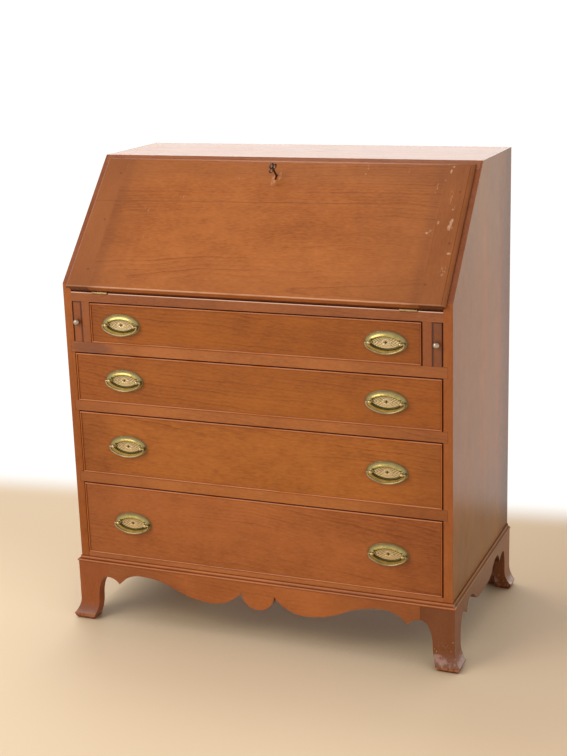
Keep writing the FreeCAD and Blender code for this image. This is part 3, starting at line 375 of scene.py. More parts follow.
def bead_marks(graph, place, colour, rough):
    """Beads paler on their upward faces, a painted highlight that is partly rubbed wear, and darker down the drawers'
    ends, most on the right, as painted shade of the gaps there.
    """
    normal = graph.split(graph.normal())
    # Painted highlight on the upward faces, patchy like rubbed wear
    patchy = graph.span(graph.noise(place, (9.0, 9.0, 9.0), 3.0), 0.3, 0.5, 0.0, 0.5)
    worn = graph.math("MULTIPLY", graph.span(normal["z"], 0.25, 0.7), patchy)
    colour = graph.mix(worn, colour, rgb(0.68, 0.42, 0.29))
    # Painted shade of the gaps down the drawers' ends, stronger on the right
    share = graph.span(graph.split(place)["x"], -0.1, 0.1, 0.3, 0.75)
    ends = graph.math("MULTIPLY", graph.span(graph.math("ABSOLUTE", normal["x"]), 0.1, 0.5), share)
    return graph.mix(ends, colour, rgb(0.10, 0.028, 0.009)), rough


def loper_marks(graph, place, colour, rough):
    """Front ends outlined by painted shade of the gaps round them, widest towards the drawer.

    The right one is darker."""
    low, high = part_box("loper_right")
    parts = graph.split(place)
    beside = graph.math("ABSOLUTE", parts["x"])
    # Painted shade of the gaps round the front ends
    gaps = (graph.span(beside, low[0] + 2.0 * MM, low[0] + 5.0 * MM, 1.0, 0.0),
            graph.span(beside, high[0] - 2.6 * MM, high[0] - 0.8 * MM),
            graph.span(parts["z"], high[2] - 3.2 * MM, high[2] - 1.2 * MM))
    outline = graph.math("MAXIMUM", graph.math("MAXIMUM", gaps[0], gaps[1]), gaps[2])
    outline = graph.math("MULTIPLY", graph.math("MULTIPLY", outline, front_facing(graph)), 0.85)
    duller = graph.math("MULTIPLY", graph.span(parts["x"], -0.1, 0.1), front_facing(graph))
    colour = graph.tint(duller, colour, rgb(0.70, 0.71, 0.80))
    return graph.mix(outline, colour, rgb(0.055, 0.013, 0.005)), rough


def rail_marks(graph, place, colour, rough):
    """Rails darker towards their ends, with a stain at the left under the top drawer."""
    colour, rough = end_marks(180, 430, rgb(0.76, 0.70, 0.66))(graph, place, colour, rough)
    parts = graph.split(place)
    flat = graph.add("CombineXYZ", {0: parts["x"], 1: parts["z"]})
    stain = graph.math("MULTIPLY", mark_mask(graph, flat, [(-392, 672, 60, 16)]), 0.5)
    return graph.mix(stain, colour, rgb(0.12, 0.045, 0.028)), rough


def drawer_marks(number):
    """A front that darkens towards its ends, with old polish and a painted shadow, set a little right and down, round
    its plates.
    """
    pivots = [JOINTS[f"drawer_{number}_bail_{side}_swing"]["pos_m"] for side in SIDES]
    # Ovals round the plates, shifted right and down as a cast shadow: old polish and painted shadow
    plates = [(pivot[0] / MM + 1.5, pivot[2] / MM - 1.5, 52.0, 30.0) for pivot in pivots]
    ends = end_marks(290, 430, DRAWER_ENDS[number])

    def marks(graph, place, colour, rough):
        colour, rough = ends(graph, place, colour, rough)
        parts = graph.split(place)
        flat = graph.add("CombineXYZ", {0: parts["x"], 1: parts["z"]})
        polish_and_shadow = graph.math("MULTIPLY", mark_mask(graph, flat, plates), 0.7)
        return graph.mix(polish_and_shadow, colour, rgb(0.10, 0.026, 0.008)), rough
    return marks


RUBBED_AND_HIGHLIT = rgb(0.70, 0.42, 0.30)
OLD_POLISH_AND_SHADE = rgb(0.09, 0.026, 0.010)
# Lines along the base moulding: from and to these heights, strength, colour. Pale lines are painted highlights on the
# crests, partly rubbed wear; dark lines are painted shade in the hollows, partly old polish
MOULDING_LINES = [(147.4, 149.2, 0.26, RUBBED_AND_HIGHLIT), (150.0, 151.8, 0.65, OLD_POLISH_AND_SHADE),
                  (153.6, 155.4, 0.26, RUBBED_AND_HIGHLIT), (156.9, 158.5, 0.7, OLD_POLISH_AND_SHADE)]


def moulding_marks(graph, place, colour, rough):
    """Crests paler as painted highlights, partly rubbed wear, and hollows darker as painted shade, partly old polish;
    the strips along the sides are rougher, and darker and greyer as painted shade and reflection.
    """
    parts = graph.split(place)
    for low, high, share, tone in MOULDING_LINES:
        line = graph.math("MULTIPLY", graph.span(parts["z"], (low - 0.4) * MM, (low + 0.4) * MM),
                          graph.span(parts["z"], (high - 0.4) * MM, (high + 0.4) * MM, share, 0.0))
        colour = graph.mix(line, colour, tone)
    # Side strips darker and greyer: painted shade and reflection
    along_side = graph.span(parts["y"], FRONT, FRONT + 6 * MM)
    colour = graph.tint(along_side, colour, rgb(0.77, 1.08, 1.18))
    return colour, graph.math("MULTIPLY_ADD", along_side, 0.4, rough)


BOARD_ROWS = 5
# A nail's head and the rust round it, and how far nails stand from the boards' ends
NAIL_HEAD = 2.3 * MM
NAIL_RUST = 7 * MM
NAIL_INSET = 5 * MM


def board_marks(graph, place, colour, rough):
    """Rough boards greyed by age, each a little different, with dark stains and two rusty nails at each end."""
    low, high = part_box("back_boards")
    pitch = (high[2] - low[2]) / BOARD_ROWS
    parts = graph.split(place)
    rows = graph.math("DIVIDE", graph.math("SUBTRACT", parts["z"], low[2]), pitch)
    shift = graph.math("SINE", graph.math("MULTIPLY", graph.math("FLOOR", rows), 2.3))
    tint = graph.mix(graph.math("MULTIPLY_ADD", shift, 0.5, 0.5), rgb(0.80, 0.76, 0.72), rgb(1.1, 1.05, 0.95))
    colour = graph.mix(1.0, colour, tint, "MULTIPLY")
    stain = graph.span(graph.noise(place, (5.0, 5.0, 9.0), 5.0), 0.56, 0.70)
    colour = graph.mix(graph.math("MULTIPLY", stain, 0.45), colour, rgb(0.13, 0.085, 0.05))
    halves = graph.math("SUBTRACT", graph.math("FRACT", graph.math("MULTIPLY", rows, 2.0)), 0.5)
    across = graph.math("SUBTRACT", graph.math("ABSOLUTE", parts["x"]), high[0] - NAIL_INSET)
    nail = graph.add("CombineXYZ", {0: across, 1: graph.math("MULTIPLY", halves, pitch / 2)})
    nail = graph.vector("LENGTH", nail, out=1)
    colour = graph.mix(graph.span(nail, 2.5 * MM, NAIL_RUST, 0.5, 0.0), colour, rgb(0.12, 0.055, 0.025))
    head = graph.span(nail, NAIL_HEAD, NAIL_HEAD + 0.5 * MM, 1.0, 0.0)
    return graph.mix(head, colour, rgb(0.035, 0.025, 0.02)), rough


# The right front toe's pale patch, seen from the front: a painted highlight, partly bare wood
BARE_AND_HIGHLIT_TOE = [(424, 28, 19, 10), (438, 22, 12, 7)]


def foot_marks(graph, place, colour, rough):
    """Toes rubbed grey on top and through to the wood along the floor, with a few pale chips above; the right toe's
    top and front have a painted highlight, partly scuffed and worn wood.
    """
    up = graph.split(graph.normal())["z"]
    parts = graph.split(place)
    height = parts["z"]
    right = graph.span(parts["x"], -0.1, 0.1)
    tint = graph.mix(right, rgb(1.25, 1.05, 0.80), rgb(0.86, 0.88, 0.95))
    colour = graph.mix(1.0, colour, tint, "MULTIPLY")
    ragged = graph.noise(place, (110.0, 110.0, 110.0), 5.0)
    fine = graph.noise(place, (300.0, 300.0, 210.0), 3.0)
    dull = graph.math("MULTIPLY", graph.span(up, 0.05, 0.4), graph.span(height, 26 * MM, 40 * MM, 1.0, 0.0))
    colour = graph.mix(graph.math("MULTIPLY", dull, 0.45), colour, rgb(0.20, 0.095, 0.065))
    rubbed = graph.math("MULTIPLY", graph.span(height, 7 * MM, 17 * MM, 1.0, 0.0), graph.span(ragged, 0.44, 0.60))
    colour = graph.mix(graph.math("MULTIPLY", rubbed, 0.75), colour, rgb(0.46, 0.20, 0.095))
    chips = graph.math("MULTIPLY", graph.span(fine, 0.65, 0.69), graph.span(height, 45 * MM, 95 * MM, 1.0, 0.0))
    chips = graph.math("MULTIPLY", chips, graph.math("MULTIPLY_ADD", right, 0.8, 0.2))
    colour = graph.mix(graph.math("MULTIPLY", chips, 0.75), colour, rgb(0.60, 0.36, 0.22))
    # Pale scuffs on the right toe's top: a painted highlight, partly scuffing
    scuff_and_highlight = graph.math("MULTIPLY", graph.span(height, 24 * MM, 34 * MM, 1.0, 0.0), graph.span(up, 0.1, 0.35))
    scuff_and_highlight = graph.math("MULTIPLY", graph.math("MULTIPLY", scuff_and_highlight, right), graph.span(ragged, 0.52, 0.66))
    colour = graph.mix(graph.math("MULTIPLY", scuff_and_highlight, 0.35), colour, rgb(0.46, 0.31, 0.25))
    # Pale patch on the right toe's front: a painted highlight, partly bare wood
    flat = graph.add("CombineXYZ", {0: parts["x"], 1: height})
    bare_and_highlit = graph.math("MULTIPLY", mark_mask(graph, flat, BARE_AND_HIGHLIT_TOE), graph.span(ragged, 0.36, 0.5))
    bare_and_highlit = graph.math("MULTIPLY", bare_and_highlit, front_facing(graph))
    colour = graph.mix(graph.math("MULTIPLY", bare_and_highlit, 0.6), colour, rgb(0.42, 0.25, 0.20))
    return colour, graph.math("MULTIPLY_ADD", dull, -0.08, rough)


# Linear colours, one for each kind of board
CHERRY = rgb(0.392, 0.125, 0.030)
TOP_CHERRY = rgb(0.300, 0.120, 0.050)
RAIL_CHERRY = rgb(0.368, 0.113, 0.021)
# The bed is a darker copy of the rails' cherry: painted shade under the fall front
BED_CHERRY = rgb(0.300, 0.088, 0.018)
LOPER_CHERRY = rgb(0.275, 0.074, 0.013)
DIVIDER_CHERRY = rgb(0.258, 0.068, 0.012)
SIDE_CHERRY = rgb(0.285, 0.098, 0.021)
# The side aprons are a darker copy of the sides' cherry: painted shade
SIDE_APRON_CHERRY = rgb(0.165, 0.060, 0.020)
LID_CHERRY = rgb(0.374, 0.111, 0.021)
CLEAT_CHERRY = rgb(0.312, 0.094, 0.020)
# Drawers 1 and 2 are darker than 3 and 4: painted shade that evens out the lamps' stronger light on the upper drawers
DRAWER_CHERRY = {1: rgb(0.300, 0.079, 0.005), 2: rgb(0.305, 0.083, 0.008), 3: rgb(0.362, 0.107, 0.014),
                 4: rgb(0.342, 0.097, 0.020)}
DRAWER_ENDS = {1: rgb(0.80, 0.74, 0.74), 2: rgb(0.98, 0.92, 0.80), 3: rgb(0.76, 0.70, 0.68),
               4: rgb(0.86, 0.84, 0.84)}
BEAD_CHERRY = rgb(0.420, 0.128, 0.026)
APRON_CHERRY = rgb(0.385, 0.110, 0.022)
FOOT_CHERRY = rgb(0.215, 0.066, 0.020)
PINE = rgb(0.500, 0.330, 0.165)
OLD_PINE = rgb(0.400, 0.245, 0.115)


def seeded(number):
    """A place in the log of its own for each board."""
    return (0.37 * number, 0.031 * (number % 5) - 0.06, 0.023 * (number % 7) - 0.11)


def dress(material, *names):
    for name in names:
        mesh = frame["nodes"][name].data
        mesh.materials.clear()
        mesh.materials.append(material)


def dress_boards(names, material, order, base, log, **looks):
    """Boards cut from the same log, with their grain in this order of axes."""
    dress(wood(material, order, base, seeded(log), **looks), *names)


# Rounding of worn edges: of most boards, of the base moulding's small steps, of the front feet and of small metal
BOARD_ARRIS = 0.7 * MM
MOULDING_ARRIS = 0.25 * MM
FOOT_ARRIS = 1.8 * MM
METAL_ARRIS = 0.3 * MM
WELD_REACH = 0.00001
ARRIS_STEPS = 3
SHARP_ANGLE = math.radians(40)
# Boards with rounded edges, by the start of their names
ROUNDED = ("side", "top", "desk_bed", "bottom", "drawer_rails", "loper_left", "loper_right", "loper_dividers",
           "front", "lid", "gallery_part", "gallery_val", "gallery_drawer")


def soften(width, *names):
    """Worn arrises: the facets' seams are closed and the sharp edges rounded."""
    for name in names:
        piece = frame["nodes"][name]
        weld = piece.modifiers.new("weld", "WELD")
        weld.merge_threshold = WELD_REACH
        bevel = piece.modifiers.new("arris", "BEVEL")
        bevel.width = width
        bevel.segments = ARRIS_STEPS
        bevel.limit_method = "ANGLE"
        bevel.angle_limit = SHARP_ANGLE
        bevel.harden_normals = True
        piece.modifiers.new("shading", "WEIGHTED_NORMAL")


def dress_wood():
    dress_boards(["lid_panel"], "lid_cherry", "xyz", LID_CHERRY, 1, sloped=True, figure=1.15, sheen=0.22,
                 marks=lid_marks)
    dress_boards(["lid_cleats"], "cleat_cherry", "yxz", CLEAT_CHERRY, 2, sloped=True, figure=0.3, sheen=0.22,
                 ends=0.16, marks=lid_marks)
    dress_boards(["side_left", "side_right"], "side_cherry", "zyx", SIDE_CHERRY, 3, figure=0.35, gloss=0.20,
                 sheen=0.06, swell=2.0, marks=side_marks)
    # The top's front edge darker and warmer than its top face: painted shade
    dress_boards(["top_board"], "top_cherry", "xyz", TOP_CHERRY, 4, sheen=0.5, swell=5.0,
                 marks=front_tint(rgb(0.88, 0.60, 0.26)))
    dress_boards(["drawer_rails"], "rail_cherry", "xyz", RAIL_CHERRY, 5, figure=0.8, marks=rail_marks)
    dress_boards(["desk_bed"], "bed_cherry", "xyz", BED_CHERRY, 23, figure=0.8, marks=bed_marks)
    dress_boards(["bottom_board"], "bottom_cherry", "xyz", CHERRY, 24, figure=0.6,
                 marks=end_marks(180, 430, rgb(0.85, 0.82, 0.90)))
    dress_boards(["loper_dividers"], "divider_cherry", "zxy", DIVIDER_CHERRY, 6, figure=0.6)
    dress_boards(["loper_left", "loper_right"], "loper_cherry", "yxz", LOPER_CHERRY, 7, figure=0.6, cap="zxy",
                 marks=loper_marks)
    dress_boards(["base_moulding"], "moulding_cherry", "xyz", APRON_CHERRY, 8, figure=0.4, gloss=0.30, sheen=0.12,
                 marks=moulding_marks)
    # The apron darkens towards both ends: painted shade
    dress_boards(["front_apron"], "apron_cherry", "xyz", APRON_CHERRY, 9, figure=0.7,
                 marks=end_marks(130, 350, rgb(0.70, 0.68, 0.74)))
    dress_boards(["side_aprons"], "side_apron_cherry", "yxz", SIDE_APRON_CHERRY, 10, figure=0.5, sheen=0.3)
    dress_boards([f"foot_{end}_{side}" for end in ("front", "rear") for side in SIDES], "foot_cherry", "zxy",
                 FOOT_CHERRY, 11, figure=0.35, sheen=0.27, marks=foot_marks)
    dress_boards([f"drawer_{number}_bead" for number in DRAWERS], "bead_cherry", "xyz", BEAD_CHERRY, 21, figure=0.3,
                 gloss=0.22, sheen=0.14, marks=bead_marks)
    for number in DRAWERS:
        dress_boards([f"drawer_{number}_front"], f"drawer_{number}_cherry", "xyz", DRAWER_CHERRY[number], 11 + number,
                     figure=1.15, sheen=0.28, marks=drawer_marks(number))
    dress_boards([f"drawer_{number}_box" for number in DRAWERS], "drawer_side_pine", "yxz", PINE, 16, gloss=0.55,
                 ends=0.7)
    dress_boards(["back_boards"], "back_pine", "xyz", OLD_PINE, 17, gloss=0.6, ends=0.7, marks=board_marks)
    dress_boards(["drawer_runners"], "runner_pine", "yxz", OLD_PINE, 22, gloss=0.6, ends=0.7)
    dress_boards(["gallery_partitions"], "gallery_cherry", "yxz", CHERRY, 18, ends=0.7)
    dress_boards(["gallery_valances", *[f"gallery_drawer_{place}" for place in GALLERY]], "valance_cherry", "xyz",
                 CHERRY, 19)
    soften(BOARD_ARRIS, *[name for name in frame["nodes"] if name.startswith(ROUNDED)])
    soften(MOULDING_ARRIS, "base_moulding")
    soften(FOOT_ARRIS, *[f"foot_front_{side}" for side in SIDES])


# Metal


def metal(name, base, worn, rough, grime_and_shade=None, ground=None):
    """Handled metal: bright where it is rubbed, dull in soft patches, dark where a mesh says dirt and painted shade
    lie.
    """
    graph = Graph(name)
    place = graph.add("TexCoord", {}, "Object")
    patch = graph.noise(place, (60.0, 60.0, 60.0), 5.0)
    fine = graph.noise(place, (500.0, 500.0, 500.0), 3.0)
    colour = graph.mix(graph.span(patch, 0.3, 0.7), base, worn)
    rough = graph.math("MULTIPLY_ADD", patch, 0.18, rough)
    if grime_and_shade:
        pinkish = graph.add("Attribute", {}, "Fac", attribute_name="ground")
        colour = graph.mix(graph.math("MULTIPLY", pinkish, 0.85), colour, ground)
        hollow = graph.add("Attribute", {}, "Fac", attribute_name="grime_and_shade")
        hollow = graph.math("MULTIPLY", hollow, graph.span(fine, 0.1, 0.6, 0.75, 1.0))
        colour = graph.mix(hollow, colour, grime_and_shade)
        rough = graph.math("MULTIPLY_ADD", hollow, 0.25, rough)
    graph.set("Base Color", colour)
    graph.set("Roughness", rough)
    graph.set("Metallic", 1.0)
    graph.bump(fine, 0.00006)
    return graph.material


BRASS = metal("brass", rgb(0.30, 0.235, 0.12), rgb(0.44, 0.36, 0.20), 0.26)
PULL_BRASS = metal("pull_brass", rgb(0.37, 0.29, 0.085), rgb(0.53, 0.425, 0.14), 0.12,
                   grime_and_shade=rgb(0.050, 0.036, 0.012), ground=rgb(0.66, 0.50, 0.28))
HINGE_BRASS = metal("hinge_brass", rgb(0.31, 0.20, 0.095), rgb(0.44, 0.31, 0.16), 0.34)
KNOB_BRASS = metal("knob_brass", rgb(0.34, 0.26, 0.195), rgb(0.50, 0.41, 0.32), 0.22)
IRON = metal("iron", rgb(0.085, 0.058, 0.044), rgb(0.17, 0.125, 0.095), 0.42)


def dress_metal():
    knobs = [f"loper_knob_{side}" for side in SIDES] + [f"gallery_knob_{place}" for place in GALLERY]
    dress(BRASS, *[f"drawer_{number}_bail_{side}" for number in DRAWERS for side in SIDES])
    dress(HINGE_BRASS, "hinge_case_leaves", "hinge_lid_leaves")
    dress(KNOB_BRASS, *knobs)
    dress(IRON, "lock_case", "lock_bolt", "key")
    soften(METAL_ARRIS, *knobs, "key")


# Meshes of small things


class Shape:
    """A mesh gathered ring by ring, in millimetres, with a dirt-and-shade value and a ground value at each point."""

    def __init__(self):
        self.mesh = bmesh.new()
        self.grime_and_shade = self.mesh.verts.layers.float.new("grime_and_shade")
        self.ground = self.mesh.verts.layers.float.new("ground")

    def ring(self, points, grime_and_shade=0.0, ground=0.0):
        verts = [self.mesh.verts.new(Vector(point) * MM) for point in points]
        for vert in verts:
            vert[self.grime_and_shade] = grime_and_shade
            vert[self.ground] = ground
        return verts

    def skin(self, rings):
        """Faces between rings that follow each other; a ring of one point is a tip."""
        for inner, outer in zip(rings, rings[1:]):
            count = max(len(inner), len(outer))
            for step in range(count):
                corners = [inner[step % len(inner)], outer[step % len(outer)],
                           outer[(step + 1) % len(outer)], inner[(step + 1) % len(inner)]]
                self.mesh.faces.new(dict.fromkeys(corners))

    def turned(self, profile, middle, axis, segments=24, ground=0.0):
        """A turning about an axis: profile has (radius, distance along the axis, dirt and shade)."""
        turn = Vector((0, 0, 1)).rotation_difference(Vector(axis)).to_matrix()
        rings = []
        for radius, along, grime_and_shade in profile:
            angles = [math.tau * step / segments for step in range(segments)] if radius else [0.0]
            spots = [Vector((radius * math.cos(angle), radius * math.sin(angle), along)) for angle in angles]
            rings.append(self.ring([Vector(middle) + turn @ spot for spot in spots], grime_and_shade, ground))
        self.skin(rings)

    def finish(self, name, material, body, matrix=Matrix()):
        bmesh.ops.recalc_face_normals(self.mesh, faces=self.mesh.faces)
        for face in self.mesh.faces:
            face.smooth = True
        data = bpy.data.meshes.new(name)
        self.mesh.to_mesh(data)
        self.mesh.free()
        data.materials.append(material)
        piece = bpy.data.objects.new(name, data)
        bpy.context.scene.collection.objects.link(piece)
        piece.matrix_world = matrix
        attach(piece, body)
        return piece


# Oval plates of the pulls: half width, half height, sharpness of the ends, height, grime and painted shade
PLATE_RINGS = [(33.8, 12.2, 1.45, 1.2, 1.0), (34.2, 12.6, 1.42, 2.6, 0.8), (34.9, 13.2, 1.38, 3.6, 0.05),
               (36.0, 14.2, 1.32, 4.0, 0.0), (37.4, 15.6, 1.24, 3.7, 0.0), (39.2, 17.4, 1.15, 2.9, 0.05),
               (41.0, 19.4, 1.08, 2.1, 0.5), (43.4, 21.8, 1.03, 1.6, 0.55), (45.6, 24.0, 1.00, 1.2, 0.5),
               (46.8, 25.3, 1.00, 1.1, 0.25), (47.4, 25.9, 1.00, 0.6, 0.5), (47.5, 26.0, 1.00, 0.0, 0.8)]
# Half widths where the raised crest ends, the flat flange starts and the rim starts
CREST_HALF = 38.0
FLANGE_HALF = 40.0
RIM_HALF = 44.0
PLATE_STEPS = 120
FIELD_STEPS = 22
POST_HALF = 35.0
HEAD_RADIUS = 4.5
HEAD_STEPS = 12
# Turned profiles as radius, distance from the drawer's face, grime and shade
POST = [(5.4, 1.0, 0.8), (5.4, 3.0, 0.5), (4.4, 4.2, 0.3), (3.0, 4.6, 0.8), (3.0, 5.4, 0.8)]
NUT = [(3.0, 20.0, 0.5), (7.0, 20.0, 0.5), (7.0, 22.2, 0.2), (6.2, 23.0, 0.2), (3.2, 23.0, 0.6), (3.0, 23.0, 0.6),
       (0.0, 23.0, 0.3)]
NUT_SIDES = 6


def patera(x, z):
    """Relief of the stamped field: a rosette with a pierced star, and a spray of leaves to each side."""
    reach = math.hypot(x, z * 1.2)
    turn = math.atan2(z * 1.2, x)
    petals = (0.6 + 0.4 * math.cos(8 * turn)) * max(0.0, 1 - abs(reach - 7.0) / 2.8)
    star = max(0.0, 1 - reach / (3.0 + 2.6 * abs(math.cos(2 * turn)) ** 3))
    leaves = math.cos(abs(x) * 0.75 - abs(z) * 1.1) * min(1.0, max(0.0, (abs(x) - 8.5) / 3.0))
    dots = noise.noise((x * 0.55, 3.0, z * 0.8))
    return 0.7 * petals - 1.3 * star + 0.25 * leaves + 0.4 * dots


def plate_grime_and_shade(x, z, half, grime_and_shade):
    """Old polish lies round the posts and along the rim; the dark line under the field is a painted shadow of the
    bail, and the flange's lower half is kept light, a painted light.
    """
    beside_post = max(0.0, 1 - abs(abs(x) - POST_HALF + 4.0) / 5.0) if abs(z) < 8 else 0.0
    if half > RIM_HALF:
        above, below = 0.78, 0.55
    else:
        above, below = grime_and_shade, 0.95 if half < CREST_HALF else 0.1
    lower = max(0.0, min(1.0, -z / 5.0))
    return max(above + (below - above) * lower, beside_post)


def make_plate(shape):
    """The field with its relief, ring by ring from the middle, then the crest, the flange and the rim."""
    angles = [math.tau * step / PLATE_STEPS for step in range(PLATE_STEPS)]

    def outline(half, rise, sharp):
        return [(half * math.cos(angle), rise * math.copysign(abs(math.sin(angle)) ** sharp, math.sin(angle)))
                for angle in angles]

    rings = [shape.ring([(0, -0.6, 0)], 1.0, 1.0)]
    half, rise, sharp, height = PLATE_RINGS[0][:4]
    for step in range(1, FIELD_STEPS):
        share = step / FIELD_STEPS
        spots = outline(half * share, rise * share, sharp)
        ring = shape.ring([(x, -height - patera(x, z), z) for x, z in spots], 0.0, 1.0)
        for vert, (x, z) in zip(ring, spots):
            # Patina in the relief's hollows, and darker towards the top as painted shade
            vert[shape.grime_and_shade] = min(1.0, max(0.0, 0.2 + 0.02 * z - 1.5 * patera(x, z)))
        rings.append(ring)
    for half, rise, sharp, height, grime_and_shade in PLATE_RINGS:
        ground = 0.55 if half > FLANGE_HALF else 0.0
        spots = outline(half, rise, sharp)
        ring = shape.ring([(x, -height, z) for x, z in spots], grime_and_shade, ground)
        for vert, (x, z) in zip(ring, spots):
            vert[shape.grime_and_shade] = plate_grime_and_shade(x, z, half, grime_and_shade)
            vert[shape.ground] = ground * max(0.15, min(1.0, 1 + z / 6.0))
        rings.append(ring)
    shape.skin(rings)


def make_pulls():
    """Stamped plate, two posts with ball heads and their nuts behind the drawer front, for each bail."""
    for number in DRAWERS:
        body = f"drawer_{number}"
        for side in SIDES:
            pivot = JOINTS[f"{body}_bail_{side}_swing"]["pos_m"]
            reach = (FRONT - pivot[1]) / MM
            shape = Shape()
            make_plate(shape)
            for sign in (-1, 1):
                middle = (sign * POST_HALF, 0, 0)
                post = list(POST)
                for step in range(3, HEAD_STEPS):
                    angle = math.pi * step / HEAD_STEPS
                    post.append((HEAD_RADIUS * math.sin(angle), reach - HEAD_RADIUS * math.cos(angle), 0.0))
                post.append((0.0, reach + HEAD_RADIUS, 0.0))
                shape.turned(post, middle, (0, -1, 0), ground=0.6)
                shape.turned(NUT, middle, (0, 1, 0), NUT_SIDES)
            plate = shape.finish(f"{body}_plate_{side}", PULL_BRASS, body,
                                 Matrix.Translation((pivot[0], FRONT, pivot[2])))
            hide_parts(f"{body}_brasses")


# A screw head with a dished middle, standing just clear of its plate: radius, height, grime and shade
SCREW = [(2.6, 0.0, 0.9), (2.6, 0.15, 0.4), (2.08, 0.35, 0.0), (0.52, 0.4, 0.0), (0.0, 0.15, 1.0)]
SCREW_SIDES = 16
# Places of the screws on a hinge leaf: from the leaf's outer end to its middle, between screws, and from the pin
LEAF_MIDDLE = 19.0
SCREW_PITCH = 13.0
SCREW_ROWS = {-1: 12.0, 0: 18.0, 1: 12.0}


def make_screws():
    """Three screws in each hinge leaf."""
    for body, node, matrix in (("case", "hinge_case_leaves", Matrix.Translation(HINGE)),
                               ("lid", "hinge_lid_leaves", LID)):
        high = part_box(node)[1]
        shape = Shape()
        out = -1.0 if body == "lid" else 1.0
        for sign in (-1, 1):
            for step, row in SCREW_ROWS.items():
                x = sign * (high[0] / MM - LEAF_MIDDLE) + SCREW_PITCH * step
                shape.turned(SCREW, (x, row, 0.0), (0, 0, out), SCREW_SIDES)
        shape.finish(f"{body}_hinge_screws", PULL_BRASS, body, matrix)


# Stage

FLOOR_SIZE = 40
SHADOW_REACH = 0.3
# The white behind the desk starts along a line turned by this slope, as a wall behind it would
WALL_TURN = 0.133
# Lamps: energy, size, place
LAMPS = {"key": (66, 2.2, (-2.2, -3.0, 2.9)), "ceiling": (22, 0.9, (-0.6, 0.65, 3.1))}
LAMP_TARGET = Vector((0, 0, 0.6))
LAMP_COLOUR = (1.0, 0.94, 0.86)
# The camera's turn in degrees, its lens and sensor in millimetres and its place in metres
YAW, PITCH, ROLL = 22.37, 15.26, 1.80
LENS = 68.26
SENSOR = 36.0
CAMERA_PLACE = (1.2200, FRONT - 2.7735, 1.4535)


def make_floor():
    """A plain pale floor that fades into white away from the desk and behind it, with painted shade to the right and
    towards the back and a painted shadow under the desk.
    """
    bpy.ops.mesh.primitive_plane_add(size=FLOOR_SIZE)
    floor = bpy.context.object
    floor.name = "studio_floor"
    graph = Graph("studio_floor")
    place = graph.add("TexCoord", {}, "Object")
    reach = graph.vector("LENGTH", graph.vector("MULTIPLY", place, (1.0, 1.0, 0.0)), out=1)
    parts = graph.split(place)
    # Darker and deeper in colour to the right, and darker towards the back: painted shade
    colour = graph.mix(graph.span(parts["x"], 0.2, 0.8), rgb(0.81, 0.645, 0.44), rgb(0.74, 0.555, 0.365))
    colour = graph.tint(graph.span(parts["y"], -0.35, 0.3), colour, rgb(0.84, 0.82, 0.80))
    # Ambient occlusion darkens the floor under and round the desk: a painted shadow
    open_air = graph.add("AmbientOcclusion", {"Distance": SHADOW_REACH}, "AO", samples=8)
    colour = graph.tint(graph.span(open_air, 0.1, 0.8, 0.8, 0.0), colour, rgb(0.42, 0.43, 0.36))
    graph.set("Base Color", colour)
    graph.set("Roughness", 0.6)
    graph.set("Specular IOR Level", 0.15)
    glow = graph.add("Emission", {"Color": rgb(1.0, 0.985, 0.96), "Strength": 1.08})
    behind = graph.math("MULTIPLY_ADD", parts["x"], -WALL_TURN, parts["y"])
    white = graph.math("MAXIMUM", graph.span(reach, 1.5, 3.4), graph.span(behind, 0.58, 0.82))
    blend = graph.add("MixShader", {0: white, 1: graph.shader.outputs[0], 2: glow})
    graph.feed(graph.nodes["Material Output"].inputs[0], blend)
    floor.data.materials.append(graph.material)


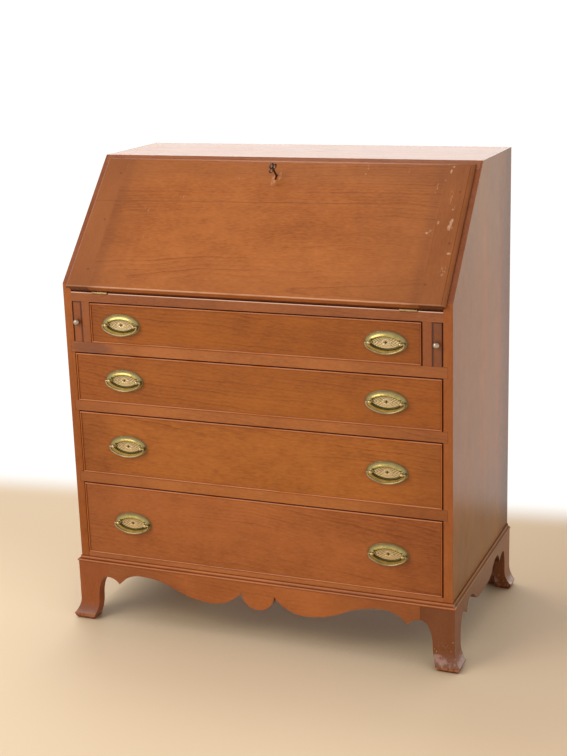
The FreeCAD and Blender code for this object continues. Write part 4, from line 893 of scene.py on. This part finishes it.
def make_light():
    """Pale walls that are brightest low down behind the desk, a lamp at the front left and one overhead."""
    world = bpy.data.worlds.new("studio")
    bpy.context.scene.world = world
    world.use_nodes = True
    nodes = world.node_tree.nodes
    links = world.node_tree.links
    place = nodes.new("ShaderNodeTexCoord")
    split = nodes.new("ShaderNodeSeparateXYZ")
    ramp = nodes.new("ShaderNodeValToRGB")
    behind = nodes.new("ShaderNodeMapRange")
    low = nodes.new("ShaderNodeMapRange")
    glow = nodes.new("ShaderNodeMath")
    total = nodes.new("ShaderNodeMath")
    for node, source, start, end in ((behind, "Y", 0.3, 0.85), (low, "Z", 0.55, 0.25)):
        node.interpolation_type = "SMOOTHSTEP"
        node.inputs["From Min"].default_value = start
        node.inputs["From Max"].default_value = end
        links.new(split.outputs[source], node.inputs["Value"])
    glow.operation = "MULTIPLY"
    total.operation = "MULTIPLY_ADD"
    total.inputs[1].default_value = 2.0
    total.inputs[2].default_value = 1.0
    elements = ramp.color_ramp.elements
    elements[0].position = 0.0
    elements[0].color = rgb(1.04, 1.02, 0.995)
    elements[1].position = 0.6
    elements[1].color = rgb(0.66, 0.66, 0.67)
    links.new(place.outputs["Generated"], split.inputs[0])
    links.new(split.outputs["Z"], ramp.inputs[0])
    links.new(behind.outputs[0], glow.inputs[0])
    links.new(low.outputs[0], glow.inputs[1])
    links.new(glow.outputs[0], total.inputs[0])
    links.new(ramp.outputs[0], nodes["Background"].inputs["Color"])
    links.new(total.outputs[0], nodes["Background"].inputs["Strength"])
    for name, (energy, size, spot) in LAMPS.items():
        light = bpy.data.lights.new(name, "AREA")
        light.energy = energy
        light.size = size
        light.color = LAMP_COLOUR
        lamp = bpy.data.objects.new(name, light)
        lamp.location = spot
        lamp.rotation_euler = (LAMP_TARGET - lamp.location).to_track_quat("-Z", "Y").to_euler()
        bpy.context.scene.collection.objects.link(lamp)


def make_camera():
    data = bpy.data.cameras.new("camera")
    data.sensor_width = SENSOR
    data.lens = LENS
    camera = bpy.data.objects.new("camera", data)
    turn = Matrix.Rotation(math.radians(YAW), 4, "Z") @ Matrix.Rotation(math.radians(90 - PITCH), 4, "X")
    turn = turn @ Matrix.Rotation(math.radians(-ROLL), 4, "Z")
    camera.matrix_world = Matrix.Translation(CAMERA_PLACE) @ turn
    bpy.context.scene.collection.objects.link(camera)
    bpy.context.scene.camera = camera


dress_wood()
dress_metal()
make_pulls()
make_screws()
make_floor()
make_light()
make_camera()
bpy.context.scene.view_settings.view_transform = "Standard"
